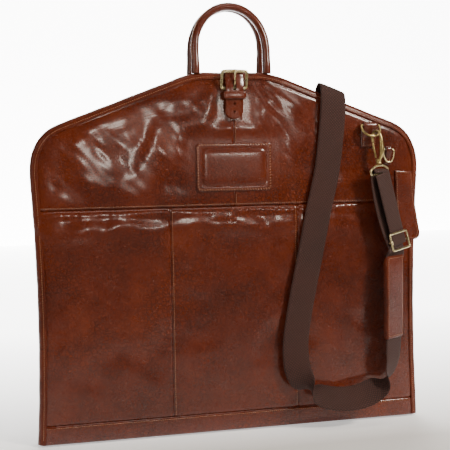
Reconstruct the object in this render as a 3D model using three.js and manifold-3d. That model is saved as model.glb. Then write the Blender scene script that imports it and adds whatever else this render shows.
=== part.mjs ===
// Folded leather garment bag: two flat halves joined by a spine along the bottom, rolled handles,
// a buckled closure strap, and a clip-on shoulder strap looped over the front half.
// Millimetres, +Z up, +X to the right, front face towards -Y. Origin: middle of the bottom edge.
import * as THREE from 'three';
import { mergeVertices } from 'three/addons/utils/BufferGeometryUtils.js';
import Module from 'manifold-3d';

const wasm = await Module();
wasm.setup();

// ---------------------------------------------------------------- driving dimensions
const GAP = 0.3;                 // clearance between pieces that touch
const TOP_Z = 553;               // top edge of a half
const TOP_HALF = 44;             // half the flat part of the top edge
const BOTTOM_HALF = 304;         // half the width along the spine
const WAIST_HALF = 292;          // pull of the waist curve
const SHOULDER_HALF = 304;       // half the width at the shoulders
const SHOULDER_Z = 400;          // where a side starts to turn into the shoulder
const SLOPE_START = [256, 479];  // lower end of the sloping top edge
const SLOPE_END = [84, 544];     // upper end of the sloping top edge
const FACE_Y = 27;               // outer face of a half, from the fold plane
const INNER_Y = 9;               // inner face of a half, from the fold plane
const PANEL = 2;                 // leather thickness
const BACK_INSET = 4;            // the back half is this much smaller all round
const BINDING_WIDTH = 10;
const BINDING_THICK = 1;
const HEM_Z = 31;                // seam above the bottom band
const POCKET_Z = 351;            // top seam of the pocket panels
const POCKET_SPLIT = 100;        // vertical seams of the pocket panels, from the middle
const GUSSET_SPLIT_Z = 402;      // side gussets meet the crown gusset here
const FOLD_OPEN_Z = 22;          // below this the two halves open into each other round the fold
const SPINE_SPLIT_Y = 4;         // the front spine runs this far past the fold axis
const ZIP_WIDTH = 9;
const HANDLE_HALF = 55.5;        // from the middle to a handle leg
const HANDLE_TOP = 654;          // centre line of the handle at its top
const HANDLE_LEG_Z = 590;        // where the leg starts to curve
const HANDLE_FOOT_Z = 566;       // lower end of the leg
const HANDLE_PIVOT_Z = 565.5;    // the handle swings about the ball at its foot
const HANDLE_R = 6;
const HANDLE_BASE_Y = 18;
const HANDLE_TOP_Y = 6.6;
const WEB_WIDTH = 41;            // shoulder strap webbing
const WEB_THICK = 2.2;
const WIRE = 1.8;                // radius of the ring wire
const BAR_Z = 472;               // bar of the shoulder D-rings
const HOOK_X = 229;              // hook axis, from the middle
const HOOK_Y = -46;              // hook axis of the front hook
const EYE_BAR_Z = 396;           // webbing bar of the front swivel eye
const HOOK_YAW = -67;            // plane of the front hook, degrees about +Z
const REAR_YAW = -40;            // plane of the rear hook
const EYE_YAW = 33;              // plane of the front swivel eye and hanging webbing
const FRONT_LEAN = 5;            // the front hook leans this far towards the middle
const REAR_LEAN = 50;            // the rear hook leans this far towards the strap
const BUCKLE_BAR_Z = 529;        // hinge bar of the buckle
const BUCKLE_TOP_Z = 554;        // top bar of the buckle
const BUCKLE_HALF = 19;          // half the buckle width, wire centre
const STRAP_TIP_Z = 486;

// ---------------------------------------------------------------- materials
const leather = new THREE.MeshStandardMaterial({ color: 0x6a3522, roughness: 0.25, metalness: 0 });
const trim = new THREE.MeshStandardMaterial({ color: 0x743a23, roughness: 0.3, metalness: 0 });
const lining = new THREE.MeshStandardMaterial({ color: 0x3a2a22, roughness: 0.9, metalness: 0 });
const webbing = new THREE.MeshStandardMaterial({ color: 0x4a332e, roughness: 0.85, metalness: 0 });
const brass = new THREE.MeshStandardMaterial({ color: 0xcdbf8c, roughness: 0.3, metalness: 1 });
const zipTape = new THREE.MeshStandardMaterial({ color: 0x2d1c16, roughness: 0.8, metalness: 0 });

const bag = new THREE.Group();

function add(name, geometry, material) {
  const mesh = new THREE.Mesh(geometry, material);
  mesh.name = name;
  bag.add(mesh);
  return mesh;
}

const rad = (degrees) => THREE.MathUtils.degToRad(degrees);

// ---------------------------------------------------------------- solids
function solid(geometry) {
  const bare = geometry.index ? geometry.toNonIndexed() : geometry.clone();
  bare.deleteAttribute('normal');
  bare.deleteAttribute('uv');
  const merged = mergeVertices(bare, 1e-4);
  return new wasm.Manifold(new wasm.Mesh({
    numProp: 3,
    vertProperties: new Float32Array(merged.attributes.position.array),
    triVerts: new Uint32Array(merged.index.array),
  }));
}

function shell(manifold) {
  const mesh = manifold.getMesh();
  const geometry = new THREE.BufferGeometry();
  geometry.setAttribute('position', new THREE.BufferAttribute(new Float32Array(mesh.vertProperties), 3));
  geometry.setIndex(new THREE.BufferAttribute(new Uint32Array(mesh.triVerts), 1));
  geometry.computeVertexNormals();
  return geometry;
}

const cut = (a, b) => shell(solid(a).subtract(solid(b)));
const join = (...parts) => shell(parts.map(solid).reduce((sum, part) => sum.add(part)));

// ---------------------------------------------------------------- outlines in the XZ plane
// The outline of a half, bottom left to bottom right over the top, moved inwards by inset.
function outline(inset = 0) {
  const path = new THREE.Path();
  path.moveTo(BOTTOM_HALF, 0);
  path.quadraticCurveTo(WAIST_HALF, SHOULDER_Z / 2, SHOULDER_HALF, SHOULDER_Z);
  path.quadraticCurveTo(SHOULDER_HALF + 2, 462, SLOPE_START[0], SLOPE_START[1]);
  path.lineTo(SLOPE_END[0], SLOPE_END[1]);
  path.quadraticCurveTo(65, 551.5, TOP_HALF, TOP_Z);
  const right = path.getPoints(10);
  const left = right.map((p) => new THREE.Vector2(-p.x, p.y)).reverse();
  const edge = [...right, ...left];
  return edge.map((point, i) => {
    const before = edge[Math.max(i - 1, 0)];
    const after = edge[Math.min(i + 1, edge.length - 1)];
    const along = after.clone().sub(before).normalize();
    const inward = new THREE.Vector2(-along.y, along.x);
    return point.clone().addScaledVector(inward, inset);
  });
}

// Keeps the part of a closed outline on one side of a line of constant x or z.
function clip(points, key, limit, keepAbove) {
  const inside = (p) => (keepAbove ? p[key] >= limit : p[key] <= limit);
  const kept = [];
  points.forEach((point, i) => {
    const next = points[(i + 1) % points.length];
    if (inside(point)) kept.push(point);
    if (inside(point) !== inside(next)) {
      const t = (limit - point[key]) / (next[key] - point[key]);
      kept.push(point.clone().lerp(next, t));
    }
  });
  return kept;
}

function region(inset, { left = -1000, right = 1000, low = -1000, high = 1000 }) {
  let points = outline(inset);
  points = clip(points, 'x', left, true);
  points = clip(points, 'x', right, false);
  points = clip(points, 'y', low, true);
  return clip(points, 'y', high, false);
}

// A flat piece in the XZ plane between two values of y.
function plate(points, yFrom, yTo) {
  const geometry = new THREE.ExtrudeGeometry(new THREE.Shape(points), {
    depth: Math.abs(yTo - yFrom),
    bevelEnabled: false,
  });
  geometry.rotateX(Math.PI / 2);
  geometry.translate(0, Math.max(yFrom, yTo), 0);
  return geometry;
}

// A wall or band that follows the outline between two insets.
function band(insetOuter, insetInner, yFrom, yTo, window) {
  const outer = outline(insetOuter);
  const inner = outline(insetInner).reverse();
  let points = [...outer, ...inner];
  if (window.left !== undefined) points = clip(points, 'x', window.left, true);
  if (window.right !== undefined) points = clip(points, 'x', window.right, false);
  if (window.low !== undefined) points = clip(points, 'y', window.low, true);
  if (window.high !== undefined) points = clip(points, 'y', window.high, false);
  return plate(points, yFrom, yTo);
}

// ---------------------------------------------------------------- strips, rods and rings
// A flat strip along a list of points. across gives the direction of its width at each point.
function ribbon(points, across, width, thick, steps) {
  const curve = new THREE.CatmullRomCurve3(points.map((p) => new THREE.Vector3(...p)));
  const turn = new THREE.CatmullRomCurve3(across.map((a) => new THREE.Vector3(...a)));
  const geometry = new THREE.BoxGeometry(1, 1, 1, 1, 1, steps);
  const position = geometry.attributes.position;
  for (let i = 0; i < position.count; i += 1) {
    const t = position.getZ(i) + 0.5;
    const along = curve.getTangent(t);
    const side = turn.getPoint(t);
    side.addScaledVector(along, -side.dot(along)).normalize();
    const up = new THREE.Vector3().crossVectors(along, side);
    const place = curve.getPoint(t);
    place.addScaledVector(side, position.getX(i) * width);
    place.addScaledVector(up, position.getY(i) * thick);
    position.setXYZ(i, place.x, place.y, place.z);
  }
  return geometry;
}

const repeat = (value, count) => Array.from({ length: count }, () => value);

// A strip whose width runs along X, given by its (y, z) points.
function strap(points, x, width, thick, steps) {
  const places = points.map(([y, z]) => [x, y, z]);
  return ribbon(places, repeat([1, 0, 0], points.length), width, thick, steps);
}

function disc(radius, sides) {
  const shape = new THREE.Shape();
  for (let i = 0; i < sides; i += 1) {
    const angle = (2 * Math.PI * i) / sides;
    const x = radius * Math.cos(angle);
    const y = radius * Math.sin(angle);
    if (i === 0) shape.moveTo(x, y);
    else shape.lineTo(x, y);
  }
  shape.closePath();
  return shape;
}

function rod(points, radius, steps, sides = 8) {
  const path = new THREE.CatmullRomCurve3(points.map((p) => new THREE.Vector3(...p)));
  return new THREE.ExtrudeGeometry(disc(radius, sides), { steps, extrudePath: path, bevelEnabled: false });
}

function ring(points, radius, steps) {
  const path = new THREE.CatmullRomCurve3(points.map((p) => new THREE.Vector3(...p)), true);
  return new THREE.TubeGeometry(path, steps, radius, 8, true);
}

function block(x0, x1, y0, y1, z0, z1) {
  const box = new THREE.BoxGeometry(x1 - x0, y1 - y0, z1 - z0);
  box.translate((x0 + x1) / 2, (y0 + y1) / 2, (z0 + z1) / 2);
  return box;
}

// A D with a straight bar of the given width at height 0, and its bow drop away along z.
function dRing(width, drop, wire = WIRE) {
  const half = width / 2;
  const corner = Math.sign(drop) * 2.2;
  const points = [[-half + 2, 0, 0], [0, 0, 0], [half - 2, 0, 0], [half, 0, corner]];
  points.push([half - 1, 0, drop * 0.55]);
  points.push([half * 0.5, 0, drop * 0.92]);
  points.push([0, 0, drop]);
  points.push([-half * 0.5, 0, drop * 0.92]);
  points.push([-half + 1, 0, drop * 0.55]);
  points.push([-half, 0, corner]);
  return ring(points, wire, 40);
}

// ---------------------------------------------------------------- the two halves
// side is -1 for the front half and +1 for the back half.
function half(name, side, inset) {
  const outer = side * FACE_Y;
  const outerIn = side * (FACE_Y - PANEL);
  const inner = side * INNER_Y;
  const innerIn = side * (INNER_Y + PANEL);
  const wallOut = side * (FACE_Y - PANEL - GAP);
  const wallIn = side * (INNER_Y + PANEL + GAP);
  const low = PANEL + GAP;
  const seam = GAP / 2;

  add(`${name}_band`, plate(region(inset, { low, high: HEM_Z - seam }), outer, outerIn), leather);
  const spineHalf = BOTTOM_HALF - 1 - inset;
  const spineInner = side < 0 ? SPINE_SPLIT_Y : SPINE_SPLIT_Y + GAP;
  add(`${name}_spine`, block(-spineHalf, spineHalf, Math.min(outer, spineInner),
    Math.max(outer, spineInner), 0, PANEL), leather);
  for (const [hand, sign] of [['left', -1], ['right', 1]]) {
    const window = sign < 0 ? { right: -100 } : { left: 100 };
    const wall = band(inset + 1.2, inset + 3.2, wallOut, wallIn,
      { ...window, low, high: GUSSET_SPLIT_Z - seam });
    add(`${name}_gusset_${hand}`, wall, leather);
    const zip = ZIP_WIDTH / 2 + GAP;
    const bounds = { low: FOLD_OPEN_Z, ...(sign < 0 ? { right: -zip } : { left: zip }) };
    add(`${name}_inner_panel_${hand}`, plate(region(inset, bounds), inner, innerIn), leather);
  }
  add(`${name}_gusset_crown`, band(inset + 1.2, inset + 3.2, wallOut, wallIn,
    { low: GUSSET_SPLIT_Z + seam }), leather);
  const zipTop = TOP_Z - inset - 6;
  add(`${name}_zip_chain`, block(-ZIP_WIDTH / 2, ZIP_WIDTH / 2, Math.min(inner, innerIn),
    Math.max(inner, innerIn), FOLD_OPEN_Z, zipTop), zipTape);
  const bindingIn = outer + side * GAP;
  add(`${name}_binding`, band(inset, inset + BINDING_WIDTH, bindingIn, bindingIn + side * BINDING_THICK,
    { low }), trim);
}

half('front', -1, 0);
half('back', 1, BACK_INSET);

const seam = GAP / 2;
const upper = { low: POCKET_Z + seam };
const pocket = { low: HEM_Z + seam, high: POCKET_Z - seam };
const frontPlate = (window) => plate(region(0, window), -FACE_Y, -FACE_Y + PANEL);
add('front_panel_upper_left', frontPlate({ ...upper, right: -seam }), leather);
add('front_panel_upper_right', frontPlate({ ...upper, left: seam }), leather);
add('pocket_panel_left', frontPlate({ ...pocket, right: -POCKET_SPLIT - seam }), leather);
add('pocket_panel_centre', frontPlate({ ...pocket, left: -POCKET_SPLIT + seam, right: POCKET_SPLIT - seam }), leather);
add('pocket_panel_right', frontPlate({ ...pocket, left: POCKET_SPLIT + seam }), leather);
const liningY = -FACE_Y + PANEL + GAP;
add('front_lining', plate(region(6, { low: 6 }), liningY, liningY + 0.8), lining);

const backPlate = (window) => plate(region(BACK_INSET, window), FACE_Y, FACE_Y - PANEL);
add('back_panel_upper', backPlate({ low: POCKET_Z + seam }), leather);
add('back_panel_lower', backPlate(pocket), leather);

// ---------------------------------------------------------------- name patch
const PATCH = { half: 59, low: 374, high: 447, thick: 3 };
const patchShape = new THREE.Shape();
patchShape.moveTo(-PATCH.half + 6, PATCH.low);
patchShape.lineTo(PATCH.half - 6, PATCH.low);
patchShape.quadraticCurveTo(PATCH.half, PATCH.low, PATCH.half, PATCH.low + 6);
patchShape.lineTo(PATCH.half, PATCH.high - 6);
patchShape.quadraticCurveTo(PATCH.half, PATCH.high, PATCH.half - 6, PATCH.high);
patchShape.lineTo(-PATCH.half + 6, PATCH.high);
patchShape.quadraticCurveTo(-PATCH.half, PATCH.high, -PATCH.half, PATCH.high - 6);
patchShape.lineTo(-PATCH.half, PATCH.low + 6);
patchShape.quadraticCurveTo(-PATCH.half, PATCH.low, -PATCH.half + 6, PATCH.low);
add('name_patch', plate(patchShape.getPoints(4), -FACE_Y - GAP, -FACE_Y - GAP - PATCH.thick), leather);

// ---------------------------------------------------------------- handles
for (const [name, side] of [['front', -1], ['back', 1]]) {
  const points = [];
  const lean = (z) => {
    const t = (z - HANDLE_FOOT_Z) / (HANDLE_TOP - HANDLE_FOOT_Z);
    return side * (HANDLE_BASE_Y + (HANDLE_TOP_Y - HANDLE_BASE_Y) * t);
  };
  points.push([-HANDLE_HALF, lean(HANDLE_FOOT_Z), HANDLE_FOOT_Z]);
  points.push([-HANDLE_HALF, lean(578), 578]);
  for (let i = 0; i <= 8; i += 1) {
    const angle = Math.PI * (1 - i / 8);
    const z = HANDLE_LEG_Z + (HANDLE_TOP - HANDLE_LEG_Z) * Math.sin(angle);
    points.push([HANDLE_HALF * Math.cos(angle), lean(z), z]);
  }
  points.push([HANDLE_HALF, lean(578), 578]);
  points.push([HANDLE_HALF, lean(HANDLE_FOOT_Z), HANDLE_FOOT_Z]);
  const foot = (sign) => {
    const ball = new THREE.SphereGeometry(HANDLE_R, 12, 8);
    ball.translate(sign * HANDLE_HALF, side * HANDLE_BASE_Y, HANDLE_PIVOT_Z);
    return ball;
  };
  add(`${name}_handle`, join(rod(points, HANDLE_R, 36, 10), foot(-1), foot(1)), trim);
  const topZ = (side < 0 ? TOP_Z : TOP_Z - BACK_INSET);
  for (const [hand, sign] of [['left', -1], ['right', 1]]) {
    const x = sign * HANDLE_HALF;
    const y = side * HANDLE_BASE_Y;
    const anchor = block(x - 7, x + 7, y - 5.5, y + 5.5, topZ - 0.6, HANDLE_PIVOT_Z - HANDLE_R - GAP);
    add(`${name}_handle_anchor_${hand}`, anchor, trim);
  }
}

// ---------------------------------------------------------------- closure strap and buckle
// (y, z) of the middle of the strap: over the top edge, behind the top bar, over the hinge bar.
const closure = [[-12, 557], [-22, 557], [-30, 555.5], [-33.3, 550], [-34.5, 543], [-36.4, 534],
  [-37, 528], [-36.6, 520], [-35, 508], [-33.4, 498], [-32.8, STRAP_TIP_Z]];
const strapBody = strap(closure, 0, 27, 2.4, 30);
add('closure_strap', cut(strapBody, block(-2.6, 2.6, -46, -28, 525.4, 541)), trim);

const chape = [[-30.4, 496], [-32, 511], [-34.5, 522], [-34.5, 529], [-31.5, 532], [-28.6, 529],
  [-28.3, 520], [-28.3, 505], [-28.3, 482]];
add('buckle_chape', cut(strap(chape, 0, 29, 1.2, 34), block(-3.4, 3.4, -46, -20, 526, 560)), trim);

const keeperShape = new THREE.Shape();
keeperShape.moveTo(-17.5, -40.2);
keeperShape.lineTo(17.5, -40.2);
keeperShape.lineTo(17.5, -FACE_Y - GAP);
keeperShape.lineTo(15.7, -FACE_Y - GAP);
keeperShape.lineTo(15.7, -38.4);
keeperShape.lineTo(-15.7, -38.4);
keeperShape.lineTo(-15.7, -FACE_Y - GAP);
keeperShape.lineTo(-17.5, -FACE_Y - GAP);
const keeper = new THREE.ExtrudeGeometry(keeperShape, { depth: 11, bevelEnabled: false });
keeper.translate(0, 0, 513);
add('strap_keeper', keeper, trim);

const BUCKLE_BAR_Y = -31.5;
const BUCKLE_TOP_Y = -38;
const frameY = (z) => BUCKLE_BAR_Y + (BUCKLE_TOP_Y - BUCKLE_BAR_Y) * (z - BUCKLE_BAR_Z) / (BUCKLE_TOP_Z - BUCKLE_BAR_Z);
const framePoints = [[-14, 0], [0, 0], [14, 0], [BUCKLE_HALF, 3], [BUCKLE_HALF, 12.5], [BUCKLE_HALF, 22],
  [14, 25], [0, 25], [-14, 25], [-BUCKLE_HALF, 22], [-BUCKLE_HALF, 12.5], [-BUCKLE_HALF, 3]]
  .map(([x, rise]) => [x, frameY(BUCKLE_BAR_Z + rise), BUCKLE_BAR_Z + rise]);
add('buckle_frame', ring(framePoints, WIRE, 48), brass);
const prong = [[0, -34.3, 530.9], [0, -37, 533.6], [0, -39.8, 537.5], [0, -41.2, 546], [0, -41.4, 557]];
add('buckle_prong', rod(prong, 1.3, 12), brass);

// ---------------------------------------------------------------- shoulder ring tabs and D-rings
// A leather strip from the face, round the bar of a ring and back down over itself.
function ringTab(x, face, barY, barZ, tail, width) {
  const out = Math.sign(barY - face);
  const lay = face + out * 1.8;
  const over = lay + out * 2.4;
  const points = [[lay, barZ - tail], [lay, barZ - tail / 2], [lay, barZ - 3], [barY - out * 2, barZ + 3.4],
    [barY + out * 2.6, barZ + 2.4], [barY + out * 2.8, barZ - 2], [over, barZ - tail * 0.5],
    [over, barZ - tail]];
  return strap(points, x, width, 1.8, 30);
}

const RING_X = 223;              // rear ring, from the middle
const FRONT_RING_X = 217.8;
const RING_WIDTH = 30;
const RING_DROP = 20;
const FRONT_BAR_Y = -35;
add('ring_tab_front', ringTab(FRONT_RING_X, -FACE_Y, FRONT_BAR_Y, BAR_Z, 34, 24), trim);
const frontRing = dRing(RING_WIDTH, -RING_DROP);
frontRing.rotateX(-Math.asin((FRONT_BAR_Y - HOOK_Y) / RING_DROP));
frontRing.translate(FRONT_RING_X, FRONT_BAR_Y, BAR_Z);
add('d_ring_front', frontRing, brass);

const REAR_BAR_Y = -3.6;
const REAR_BAR_Z = 462;
add('ring_tab_rear', ringTab(-RING_X, -INNER_Y, REAR_BAR_Y, REAR_BAR_Z, 10, 22), trim);
const REAR_DROP = 25;
const rearRing = dRing(RING_WIDTH, -REAR_DROP);
rearRing.rotateX(Math.asin(-REAR_BAR_Y / REAR_DROP));
rearRing.translate(-RING_X, REAR_BAR_Y, REAR_BAR_Z);
add('d_ring_rear', rearRing, brass);

// ---------------------------------------------------------------- snap hooks and swivel eyes
// Local frame: z up along the hook axis from the webbing bar of the eye, x across the hook.
const EYE_TOP = 13;
const BARREL_LOW = EYE_TOP + WIRE + GAP + 0.3;
const BARREL_HIGH = BARREL_LOW + 8;
const BOW_TOP = 66.5;
const NOSE = 50;

function hookGeometry() {
  const barrel = new THREE.CylinderGeometry(4, 4.6, BARREL_HIGH - BARREL_LOW, 12);
  barrel.rotateX(Math.PI / 2);
  barrel.translate(0, 0, (BARREL_LOW + BARREL_HIGH) / 2);
  const arm = rod([[1, 0, BARREL_HIGH - 3], [6.5, 0, BARREL_HIGH + 5], [8.8, 0, 41], [9.2, 0, 55],
    [6, 0, BOW_TOP - 2.4], [0, 0, BOW_TOP], [-6, 0, BOW_TOP - 2.4], [-9.2, 0, 57], [-9.2, 0, NOSE]], 2.2, 30);
  return join(barrel, arm);
}

const gateGeometry = () => rod([[-5.2, 0, BARREL_HIGH + 1.6], [-7.4, 0, 38], [-9, 0, NOSE - 1]], 1.5, 6);

function hang(geometry, yaw, lean, x, y, z) {
  geometry.rotateZ(rad(yaw));
  geometry.rotateY(rad(lean));
  geometry.translate(x, y, z);
  return geometry;
}

const front = { x: HOOK_X, y: HOOK_Y, z: EYE_BAR_Z, yaw: HOOK_YAW, lean: -FRONT_LEAN };
const reach = BOW_TOP - 6.5;
const rear = {
  x: -RING_X + 9.6 + reach * Math.sin(rad(REAR_LEAN)),
  y: -0.4,
  z: REAR_BAR_Z - 18.8 - reach * Math.cos(rad(REAR_LEAN)),
  yaw: REAR_YAW,
  lean: -REAR_LEAN,
};
for (const [name, place, eyeYaw] of [['front', front, EYE_YAW], ['rear', rear, 0]]) {
  const { x, y, z, yaw, lean } = place;
  add(`snap_hook_${name}`, hang(hookGeometry(), yaw, lean, x, y, z), brass);
  add(`snap_gate_${name}`, hang(gateGeometry(), yaw, lean, x, y, z), brass);
  add(`swivel_eye_${name}`, hang(dRing(WEB_WIDTH + 5, EYE_TOP), eyeYaw, lean, x, y, z), brass);
}

// ---------------------------------------------------------------- shoulder strap
// Route of the long strand from the front eye to the rear eye.
const frontSide = [Math.cos(rad(EYE_YAW)), Math.sin(rad(EYE_YAW)), 0];
const frontOut = [Math.sin(rad(EYE_YAW)), -Math.cos(rad(EYE_YAW)), 0];
const flat = [-1, 0, 0];
// Each row: the middle of the webbing, then the direction of its width.
const strand = [
  [[227.2, -43.2, 397], frontSide], [[235, -43.2, 367], frontSide], [[243, -43.2, 336], frontSide],
  [[251, -43.2, 305], frontSide], [[258.5, -43.4, 276], frontSide], [[251, -48.4, 262], frontSide],
  [[250, -50, 245], frontSide], [[250, -50, 200], frontSide], [[250, -50, 155], frontSide],
  [[250, -50.5, 122], [0.84, 0.55, 0]], [[245, -54, 95], [0.75, 0.64, 0.1]],
  [[231, -57, 70], [0.6, 0.55, 0.6]], [[203, -59, 53], [0.25, 0.55, 0.8]],
  [[171, -59, 47], [0, 0.64, 0.77]], [[137, -57, 51], [-0.3, 0.6, 0.75]],
  [[112, -53, 63], [-0.62, 0.5, 0.6]], [[94, -48, 88], [-0.88, 0.3, 0.3]],
  [[90, -43, 120], [-0.98, 0.12, 0.1]], [[93, -40, 155], flat], [[103, -37, 206], flat],
  [[117, -35.5, 270], flat], [[132, -34.5, 340], flat], [[146, -34, 400], flat],
  [[154, -33.5, 460], [-1, 0, 0.05]], [[157.5, -33, 503], [-1, 0, 0.2]],
  [[158.5, -28, 525], [-0.94, 0, 0.36]], [[159, -17, 531.5], [-0.94, 0, 0.36]],
  [[159, -6, 525], [-0.94, 0, 0.36]], [[158, -1, 506], [-0.97, 0, 0.2]],
  [[152, 0, 478], [-0.95, 0, 0.3]], [[136, 0, 444], [-0.8, 0, 0.6]], [[104, 0, 412], [-0.5, 0, 0.85]],
  [[60, 0, 390], [-0.25, 0, 0.97]], [[10, 0, 380], [-0.05, 0, 1]], [[-40, 0, 380], [0.04, 0, 1]],
  [[-90, 0, 386], [0.3, 0, 0.95]], [[-130, 0, 395], [0.5, 0, 0.85]],
  [[rear.x + 3.4, 3, rear.z - 2], [Math.cos(rad(REAR_LEAN)), 0, Math.sin(rad(REAR_LEAN))]],
];
const along = strand.map(([place]) => place);
const sides = strand.map(([, side]) => side);
add('shoulder_strap_webbing', ribbon(along, sides, WEB_WIDTH, WEB_THICK, 110), webbing);

// The sewn end comes back over the eye and runs down in front to the slider.
const LAYER = 6.9;
const endPlaces = [...along.slice(0, 4), [256.4, -43.2, 284]];
const endLoop = endPlaces.map((place) => place.map((v, i) => v + frontOut[i] * LAYER));
add('strap_end_loop', ribbon(endLoop, repeat(frontSide, 5), WEB_WIDTH - 1, WEB_THICK, 14), webbing);

// ---------------------------------------------------------------- strap slider
// Local frame: z along the webbing, y out of its front, origin at the middle of the frame.
const SLIDER_Z = 291;
const SLIDER_LEAN = -14.5;
const SLIDER_OUT = LAYER + 3.2;
const sliderShift = (397 - SLIDER_Z) * 0.258;
const sliderPoints = [[-18, 0, -13], [0, 0, -13], [18, 0, -13], [23.4, 0, -10], [23.4, 0, 0], [23.4, 0, 10],
  [18, 0, 13], [0, 0, 13], [-18, 0, 13], [-23.4, 0, 10], [-23.4, 0, 0], [-23.4, 0, -10]];
const sliderRing = ring(sliderPoints, 1.7, 40);
const sliderBar = block(-23.4, 23.4, 4.8, 6.6, -3, 3);
const sliderPosts = [-22.6, 22.6].map((x) => block(x - 1.2, x + 1.2, -0.6, 6.2, -2.4, 2.4));
const slider = join(sliderRing, sliderBar, ...sliderPosts);
hang(slider, EYE_YAW, SLIDER_LEAN, 227.2 + sliderShift + frontOut[0] * SLIDER_OUT,
  -43.2 + frontOut[1] * SLIDER_OUT, SLIDER_Z);
add('strap_slider', slider, brass);

// ---------------------------------------------------------------- shoulder pad
const PAD = { low: 136, high: 238, width: 45, thick: 9 };
const padPoints = [[250, -50, PAD.low], [250, -50, 170], [250, -50, 200], [250, -50, PAD.high]];
const slotPoints = [[250, -50, PAD.low - 20], [250, -50, 170], [250, -50, 200], [250, -50, PAD.high + 20]];
const padBody = ribbon(padPoints, repeat(frontSide, 4), PAD.width, PAD.thick, 4);
const padSlot = ribbon(slotPoints, repeat(frontSide, 4), WEB_WIDTH + 1.2, WEB_THICK + 2, 4);
add('shoulder_pad', cut(padBody, padSlot), trim);

// ---------------------------------------------------------------- side tab and small ring
const sideTab = new THREE.Shape();
sideTab.moveTo(262, 401);
sideTab.lineTo(292, 399);
sideTab.lineTo(296, 359);
sideTab.lineTo(306.5, 300);
sideTab.quadraticCurveTo(307, 290, 300, 289);
sideTab.lineTo(271, 289);
sideTab.quadraticCurveTo(266, 289, 266, 294);
add('side_tab', plate(sideTab.getPoints(4), -FACE_Y - 1.6, -FACE_Y - 3.4), trim);
const SMALL_BAR = { x: 250, y: -31.4, z: 434 };
add('ring_tab_small', ringTab(SMALL_BAR.x, -FACE_Y, SMALL_BAR.y, SMALL_BAR.z, 26, 12), trim);
const smallRing = dRing(18, -20, 1.2);
smallRing.rotateX(rad(-8));
smallRing.translate(SMALL_BAR.x, SMALL_BAR.y, SMALL_BAR.z);
add('small_ring', smallRing, brass);

// ---------------------------------------------------------------- hanger bracket inside the front half
const bracketShape = new THREE.Shape();
[[-32, 546], [-32, 505], [32, 505], [32, 546], [28, 546], [28, 509], [-28, 509], [-28, 546]]
  .forEach(([x, z], i) => (i === 0 ? bracketShape.moveTo(x, z) : bracketShape.lineTo(x, z)));
add('hanger_bracket', plate(bracketShape.getPoints(), -20, -15), brass);

// ---------------------------------------------------------------- zip slider and pull
const ZIP_CLOSED_Z = 518;
const zipFace = -INNER_Y + GAP;
add('zip_slider', block(-5.5, 5.5, zipFace, zipFace + 3, ZIP_CLOSED_Z, ZIP_CLOSED_Z + 12), brass);
add('zip_pull', block(-3.5, 3.5, zipFace + 3.4, zipFace + 4.8, ZIP_CLOSED_Z - 26, ZIP_CLOSED_Z + 6), trim);

export default bag;
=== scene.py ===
"""Looks of a folded leather garment bag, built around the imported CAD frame.

Metres, +Z up, front towards -Y.
"""
import bmesh
import bpy
import math
import numpy as np
from mathutils import Matrix, Vector


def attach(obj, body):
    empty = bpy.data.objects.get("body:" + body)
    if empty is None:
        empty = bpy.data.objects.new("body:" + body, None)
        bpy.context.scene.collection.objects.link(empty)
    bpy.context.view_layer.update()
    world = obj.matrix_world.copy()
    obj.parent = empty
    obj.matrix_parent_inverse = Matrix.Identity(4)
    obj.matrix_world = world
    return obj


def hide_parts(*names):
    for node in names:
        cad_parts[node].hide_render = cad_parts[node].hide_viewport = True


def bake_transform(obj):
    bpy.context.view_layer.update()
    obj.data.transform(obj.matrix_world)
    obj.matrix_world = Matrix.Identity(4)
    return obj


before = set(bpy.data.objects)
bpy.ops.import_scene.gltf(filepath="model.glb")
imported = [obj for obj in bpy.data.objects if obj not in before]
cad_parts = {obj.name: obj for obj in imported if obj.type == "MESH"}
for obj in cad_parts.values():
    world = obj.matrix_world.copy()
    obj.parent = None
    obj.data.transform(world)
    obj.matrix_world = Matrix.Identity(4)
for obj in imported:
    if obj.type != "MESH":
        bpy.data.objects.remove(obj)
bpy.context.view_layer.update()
MM = 0.001

# ---- camera
CAMERA_AZIMUTH = math.radians(-13.3)
CAMERA_ELEVATION = math.radians(4.4)
CAMERA_ROLL = math.radians(-0.9)
CAMERA_DISTANCE = 1.400
CAMERA_TARGET = Vector((-0.0094, 0.0, 0.3205))


def make_camera():
    a, e, roll = CAMERA_AZIMUTH, CAMERA_ELEVATION, CAMERA_ROLL
    back = Vector((math.sin(a) * math.cos(e), -math.cos(a) * math.cos(e), math.sin(e)))
    right = (-back).cross(Vector((0, 0, 1))).normalized()
    up = right.cross(-back)
    side = right * math.cos(roll) + up * math.sin(roll)
    top = up * math.cos(roll) - right * math.sin(roll)
    data = bpy.data.cameras.new("camera")
    data.lens = 72
    data.sensor_width = 36
    cam = bpy.data.objects.new("camera", data)
    bpy.context.scene.collection.objects.link(cam)
    turn = Matrix((side, top, back)).transposed().to_4x4()
    cam.matrix_world = Matrix.Translation(CAMERA_TARGET + back * CAMERA_DISTANCE) @ turn
    bpy.context.scene.camera = cam


make_camera()


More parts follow.
